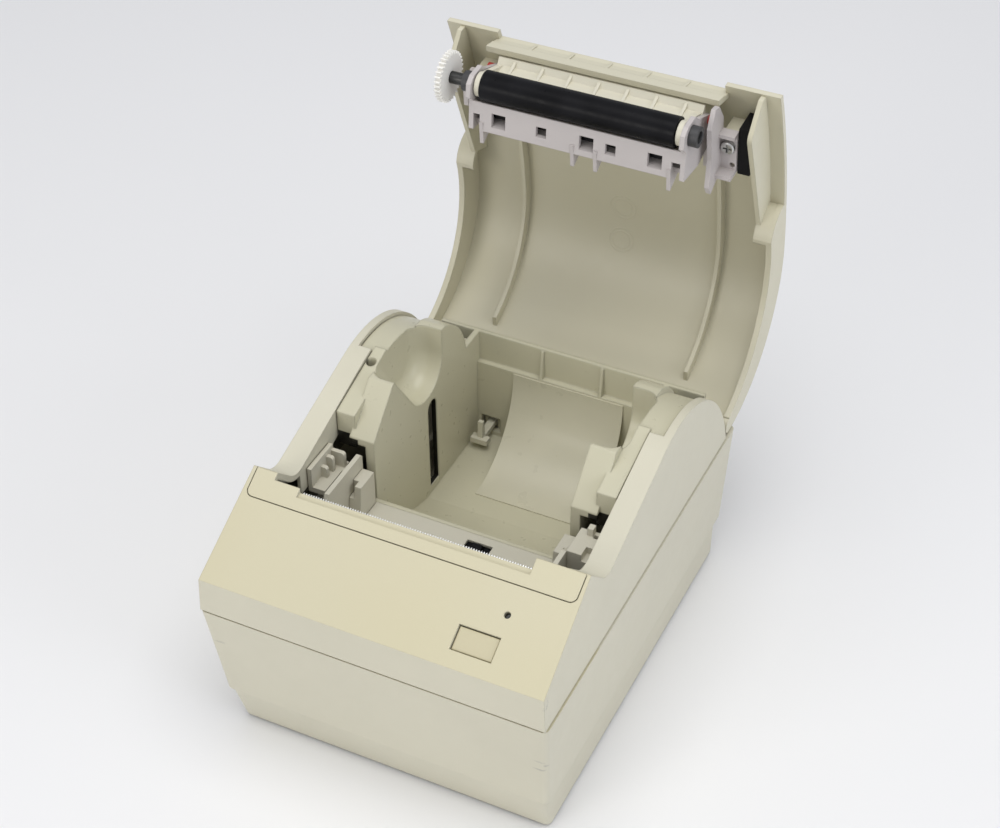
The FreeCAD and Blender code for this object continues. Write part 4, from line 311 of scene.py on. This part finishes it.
def aged_mask(tree):
    # 1 on the sloping front panel, which daylight has yellowed.
    normal = add(tree, "ShaderNodeTexCoord").outputs["Normal"]
    upward = spread(tree, axes(tree, normal)["Z"], *AGED_SLOPE)
    front = spread(tree, axes(tree, place(tree))["Y"], *PANEL_END_Y)
    patches = spread(tree, noise(tree, AGED_PATCHES), *WIDE, *AGED_AMOUNT)
    return maths(tree, "MULTIPLY", maths(tree, "MULTIPLY", upward, front), patches)


def lid_painted_shade_mask(tree):
    # 1 on the faces that look into the lid, which get a darker cream as painted shade.
    normal = axes(tree, add(tree, "ShaderNodeTexCoord").outputs["Normal"])
    side = maths(tree, "SIGN", axes(tree, place(tree))["X"], 0.0)
    walls = spread(tree, maths(tree, "MULTIPLY", normal["X"], side), *INSIDE_WALL_FACING)
    return maths(tree, "MAXIMUM", spread(tree, normal["Y"], *INSIDE_FACING), walls)


def vector_step(tree, operation, vector, value):
    node = add(tree, "ShaderNodeVectorMath", operation=operation)
    tree.links.new(vector, node.inputs[0])
    node.inputs[1].default_value = value
    return node.outputs["Vector"]


def box_mask(tree, low, high):
    # 1 within a box, 0 outside it.
    middle = (Vector(low) + Vector(high)) / 2
    half = (Vector(high) - Vector(low)) / 2
    away = vector_step(tree, "ABSOLUTE", vector_step(tree, "SUBTRACT", place(tree), middle), (0, 0, 0))
    share = axes(tree, vector_step(tree, "DIVIDE", away, half))
    farthest = maths(tree, "MAXIMUM", maths(tree, "MAXIMUM", share["X"], share["Y"]), share["Z"])
    return spread(tree, farthest, *BOX_RIM)


def distance_from(tree, point):
    node = add(tree, "ShaderNodeVectorMath", operation="DISTANCE")
    tree.links.new(place(tree), node.inputs[0])
    node.inputs[1].default_value = point
    return node.outputs["Value"]


def scuff_mask(tree):
    # Short sideways scratches close to a few knocked edges.
    scratch = spread(tree, noise(tree, SCRATCHES, SCRATCHED_SIDEWAYS), *SCRATCHED)
    total = 0.0
    for centre, reach in SCUFFS:
        spot = spread(tree, distance_from(tree, centre), reach, SCUFF_CORE * reach)
        total = maths(tree, "MAXIMUM", spot, total)
    return maths(tree, "MULTIPLY", total, scratch)


def soil_and_shade_mask(tree):
    # Patchy dirt in the corners, together with painted shade where the corners shut in.
    patches = spread(tree, noise(tree, SOIL_PATCHES), *SOILED, *SOIL_AND_SHADE_AMOUNT)
    return maths(tree, "MULTIPLY", hollow_mask(tree, CORNER_REACH, CORNER_OPENNESS), patches)


def ring_mask(tree):
    # 1 on the low moulded rings inside the lid, 0 away from them.
    total = 0.0
    for centre, radius in LID_RINGS:
        away = maths(tree, "ABSOLUTE", maths(tree, "SUBTRACT", distance_from(tree, centre), radius), 0.0)
        total = maths(tree, "MAXIMUM", spread(tree, away, RING_LINE, 0.0), total)
    return total


# Materials


def plastic(name, tone, roughness=0.46, grain=PLASTIC_GRAIN, edge=SHELL_EDGE, gloss=0.5, shell=False,
            lid=False, gaps=()):
    material, tree, shader = start_material(name)
    colour = drift(tree, spread(tree, noise(tree, MOTTLE), *MIDDLE), tone, MOTTLE_SHADES)
    if shell:
        colour = mix(tree, aged_mask(tree), colour, CREAM_AGED)
    normal = grain_normal(tree, noise(tree, PLASTIC_PORES), grain, edge)
    if lid:
        # Painted shade: the faces looking into the lid take a darker cream.
        inside = lid_painted_shade_mask(tree)
        colour = mix(tree, inside, colour, CREAM_LID_PAINTED_SHADE)
        rings = maths(tree, "MULTIPLY", inside, ring_mask(tree))
        normal = raised_normal(tree, normal, rings, RING_RISE)
    # Soil with painted shade: darker in corners and gaps, in patches.
    colour = mix(tree, soil_and_shade_mask(tree), colour, tinted(tone, SOIL_AND_SHADE_TINT))
    if shell:
        colour = mix(tree, scuff_mask(tree), colour, SCUFF_GREY)
    # Painted shade: nearly black inside each box, where an opening lies unlit.
    for low, high in gaps:
        colour = mix(tree, box_mask(tree, low, high), colour, shade(tone, UNLIT_SHADE))
    tree.links.new(colour, shader.inputs["Base Color"])
    rough = spread(tree, noise(tree, PLASTIC_SHEEN), *MIDDLE, *around(roughness, PLASTIC_ROUGH_SPREAD))
    tree.links.new(rough, shader.inputs["Roughness"])
    tree.links.new(normal, shader.inputs["Normal"])
    shader.inputs["IOR"].default_value = PLASTIC_IOR
    shader.inputs["Specular IOR Level"].default_value = gloss
    return material


def metal(name, tone, roughness, lines=EVEN):
    material, tree, shader = start_material(name)
    streaks = noise(tree, METAL_STREAKS, lines)
    colour = drift(tree, spread(tree, streaks, *MIDDLE), tone, STREAK_SHADES)
    stain = maths(tree, "MULTIPLY", hollow_mask(tree, STAIN_REACH, STAIN_OPENNESS), STAIN_AMOUNT)
    colour = mix(tree, stain, colour, shade(tone, STAIN_SHADE))
    tree.links.new(colour, shader.inputs["Base Color"])
    rough = spread(tree, streaks, *STREAKED, *around(roughness, METAL_ROUGH_SPREAD))
    tree.links.new(rough, shader.inputs["Roughness"])
    normal = grain_normal(tree, noise(tree, METAL_LINES, lines), METAL_GRAIN, SMALL_EDGE)
    tree.links.new(normal, shader.inputs["Normal"])
    shader.inputs["Metallic"].default_value = 1.0
    return material


def rubber(name, tone, roughness, grain, sheen):
    material, tree, shader = start_material(name)
    dust = spread(tree, noise(tree, RUBBER_DUST), *UPPER)
    colour = mix(tree, dust, tone, shade(tone, DUST_SHADE))
    tree.links.new(colour, shader.inputs["Base Color"])
    rough = spread(tree, noise(tree, RUBBER_SHEEN), *MIDDLE, *around(roughness, RUBBER_ROUGH_SPREAD))
    tree.links.new(rough, shader.inputs["Roughness"])
    normal = grain_normal(tree, noise(tree, RUBBER_PORES), grain, FRAME_EDGE)
    tree.links.new(normal, shader.inputs["Normal"])
    shader.inputs["Specular IOR Level"].default_value = sheen
    return material


def film(name, tone):
    # Thin milky plastic sheet with a soft sheen and slow waves.
    material, tree, shader = start_material(name)
    colour = drift(tree, spread(tree, noise(tree, FILM_CLOUD), *MIDDLE), tone, FILM_SHADES)
    tree.links.new(colour, shader.inputs["Base Color"])
    rough = spread(tree, noise(tree, FILM_SHEEN), *MIDDLE, *FILM_ROUGH)
    tree.links.new(rough, shader.inputs["Roughness"])
    waves = raised_normal(tree, None, noise(tree, FILM_WAVES, WAVED_ALONG_X), FILM_RIPPLE)
    tree.links.new(waves, shader.inputs["Normal"])
    return material


def circuit(name, tone):
    # Green lacquer over a mesh of lighter traces.
    material, tree, shader = start_material(name)
    traces = add(tree, "ShaderNodeTexBrick", scale=TRACE_SCALE)
    traces.inputs["Mortar Size"].default_value = TRACE_WIDTH
    traces.inputs["Color1"].default_value = (*tone, 1.0)
    traces.inputs["Color2"].default_value = (*shade(tone, BOARD_SHADE), 1.0)
    traces.inputs["Mortar"].default_value = (*shade(tone, TRACE_SHADE), 1.0)
    tree.links.new(place(tree), traces.inputs["Vector"])
    patch = spread(tree, noise(tree, BOARD_PATCHES), *UPPER)
    colour = mix(tree, patch, traces.outputs["Color"], tone)
    tree.links.new(colour, shader.inputs["Base Color"])
    rough = spread(tree, noise(tree, BOARD_SHEEN), *MIDDLE, *BOARD_ROUGH)
    tree.links.new(rough, shader.inputs["Roughness"])
    normal = grain_normal(tree, traces.outputs["Fac"], TRACE_RISE, SMALL_EDGE)
    tree.links.new(normal, shader.inputs["Normal"])
    return material


def floor_material():
    material, tree, shader = start_material("pale_floor")
    cloud = spread(tree, noise(tree, FLOOR_CLOUD), *MIDDLE)
    colour = mix(tree, cloud, shade(FLOOR_WHITE, FLOOR_SHADE), FLOOR_WHITE)
    tree.links.new(colour, shader.inputs["Base Color"])
    shader.inputs["Roughness"].default_value = FLOOR_ROUGH
    shader.inputs["Specular IOR Level"].default_value = FLOOR_GLOSS
    return material


# What each material slot of the record is made of
SLOT_LOOKS = {
    "case_plastic": (plastic, {"tone": CREAM, "shell": True, "gaps": CASE_SHADE_BOXES}),
    "lid_plastic": (plastic, {"tone": CREAM_LID, "grain": SMOOTH_GRAIN, "gloss": 0.85, "lid": True}),
    # The bucket takes a darker cream, partly painted shade
    "bucket_plastic": (plastic, {"tone": CREAM_BUCKET_SHADED, "roughness": 0.30, "grain": SMOOTH_GRAIN,
                                 "edge": BUCKET_EDGE, "gaps": BUCKET_SHADE_BOXES}),
    "button_plastic": (plastic, {"tone": BUTTON_CREAM, "roughness": 0.42}),
    "lever_plastic": (plastic, {"tone": CREAM}),
    "guide_plastic": (plastic, {"tone": PALE_GREY}),
    "cover_plastic": (plastic, {"tone": PALE_GREY}),
    "mech_plastic": (plastic, {"tone": PALE_GREY, "edge": FRAME_EDGE}),
    "frame_plastic": (plastic, {"tone": LILAC_GREY, "edge": FRAME_EDGE}),
    "bar_plastic": (plastic, {"tone": IVORY, "edge": FRAME_EDGE}),
    "gear_plastic": (plastic, {"tone": NYLON, "roughness": 0.38, "edge": TOOTH_EDGE}),
    "bush_plastic": (plastic, {"tone": DARK_GREY, "edge": SMALL_EDGE}),
    "black_plastic": (plastic, {"tone": BLACK, "roughness": 0.5, "edge": SMALL_EDGE, "gloss": 0.2}),
    "socket_plastic": (plastic, {"tone": BLACK, "roughness": 0.36, "edge": SMALL_EDGE}),
    "red_plastic": (plastic, {"tone": RED, "roughness": 0.3, "edge": SMALL_EDGE}),
    "light_lens": (plastic, {"tone": LENS_GREEN, "roughness": 0.14, "grain": LENS_GRAIN,
                             "edge": FRAME_EDGE}),
    "head_ceramic": (plastic, {"tone": CERAMIC, "roughness": 0.18, "edge": SMALL_EDGE}),
    "film_plastic": (film, {"tone": FILM}),
    "board_green": (circuit, {"tone": BOARD_GREEN}),
    "foot_rubber": (rubber, {"tone": FOOT_BLACK, "roughness": 0.75, "grain": FOOT_GRAIN, "sheen": 0.4}),
    "roller_rubber": (rubber, {"tone": RUBBER_BLACK, "roughness": 0.34, "grain": ROLLER_GRAIN,
                               "sheen": 0.08}),
    "screw_steel": (metal, {"tone": STEEL, "roughness": 0.28}),
    "cutter_steel": (metal, {"tone": BRIGHT_STEEL, "roughness": 0.45, "lines": GROUND_ALONG_X}),
    "pin_steel": (metal, {"tone": STEEL, "roughness": 0.24, "lines": DRAWN_ALONG_X}),
    "spring_steel": (metal, {"tone": STEEL, "roughness": 0.3}),
    "motor_steel": (metal, {"tone": DARK_STEEL, "roughness": 0.4}),
    "socket_steel": (metal, {"tone": STEEL, "roughness": 0.28, "lines": PRESSED_FLAT}),
    "shaft_steel": (metal, {"tone": BLACK_STEEL, "roughness": 0.35, "lines": DRAWN_ALONG_X}),
    "heatsink_aluminium": (metal, {"tone": ALUMINIUM, "roughness": 0.34, "lines": DRAWN_ACROSS_X}),
    "pinion_brass": (metal, {"tone": BRASS, "roughness": 0.26}),
}


def dress_parts():
    materials = {slot: make(slot, **look) for slot, (make, look) in SLOT_LOOKS.items()}
    for entry in frame["record"]["subparts"]:
        part = parts[entry["node"]]
        part.data.materials.clear()
        part.data.materials.append(materials[entry["material_slot"]])


# Stage, light and camera


def add_floor():
    signs = ((-1, -1), (1, -1), (1, 1), (-1, 1))
    corners = [(FLOOR_REACH * x, FLOOR_REACH * y, 0) for x, y in signs]
    mesh = bpy.data.meshes.new("floor")
    mesh.from_pydata(corners, [], [(0, 1, 2, 3)])
    mesh.materials.append(floor_material())
    floor = bpy.data.objects.new("floor", mesh)
    bpy.context.scene.collection.objects.link(floor)


def add_softbox(name, place_at, width, power, colour):
    light = bpy.data.lights.new(name, "AREA")
    light.shape = "DISK"
    light.size = width
    light.energy = power
    light.color = colour
    box = bpy.data.objects.new(name, light)
    box.location = place_at
    box.rotation_euler = (Vector(AIM_POINT) - Vector(place_at)).to_track_quat("-Z", "Y").to_euler()
    bpy.context.scene.collection.objects.link(box)


def set_world():
    world = bpy.data.worlds.new("studio")
    world.use_nodes = True
    background = next(n for n in world.node_tree.nodes if n.type == "BACKGROUND")
    background.inputs["Color"].default_value = (*SKY_COLOUR, 1.0)
    background.inputs["Strength"].default_value = SKY_STRENGTH
    bpy.context.scene.world = world


def set_camera():
    sin_az = math.sin(CAMERA_AZIMUTH)
    cos_az = math.cos(CAMERA_AZIMUTH)
    cos_el = math.cos(CAMERA_ELEVATION)
    back = Vector((sin_az * cos_el, -cos_az * cos_el, math.sin(CAMERA_ELEVATION)))
    level = (-back).cross(Vector((0, 0, 1))).normalized()
    upright = level.cross(-back)
    right = level * math.cos(CAMERA_ROLL) + upright * math.sin(CAMERA_ROLL)
    up = upright * math.cos(CAMERA_ROLL) - level * math.sin(CAMERA_ROLL)
    data = bpy.data.cameras.new("camera")
    data.lens = CAMERA_LENS
    data.sensor_width = SENSOR_WIDTH
    data.sensor_fit = "HORIZONTAL"
    data.clip_start = NEAREST_SEEN
    camera = bpy.data.objects.new("camera", data)
    turn = Matrix((right, up, back)).transposed().to_4x4()
    camera.matrix_world = Matrix.Translation(CAMERA_PLACE) @ turn
    bpy.context.scene.collection.objects.link(camera)
    bpy.context.scene.camera = camera


dress_parts()
add_floor()
set_world()
for light_name, light_values in SOFTBOXES.items():
    add_softbox(light_name, *light_values)
set_camera()
bpy.context.scene.view_settings.view_transform = "Standard"
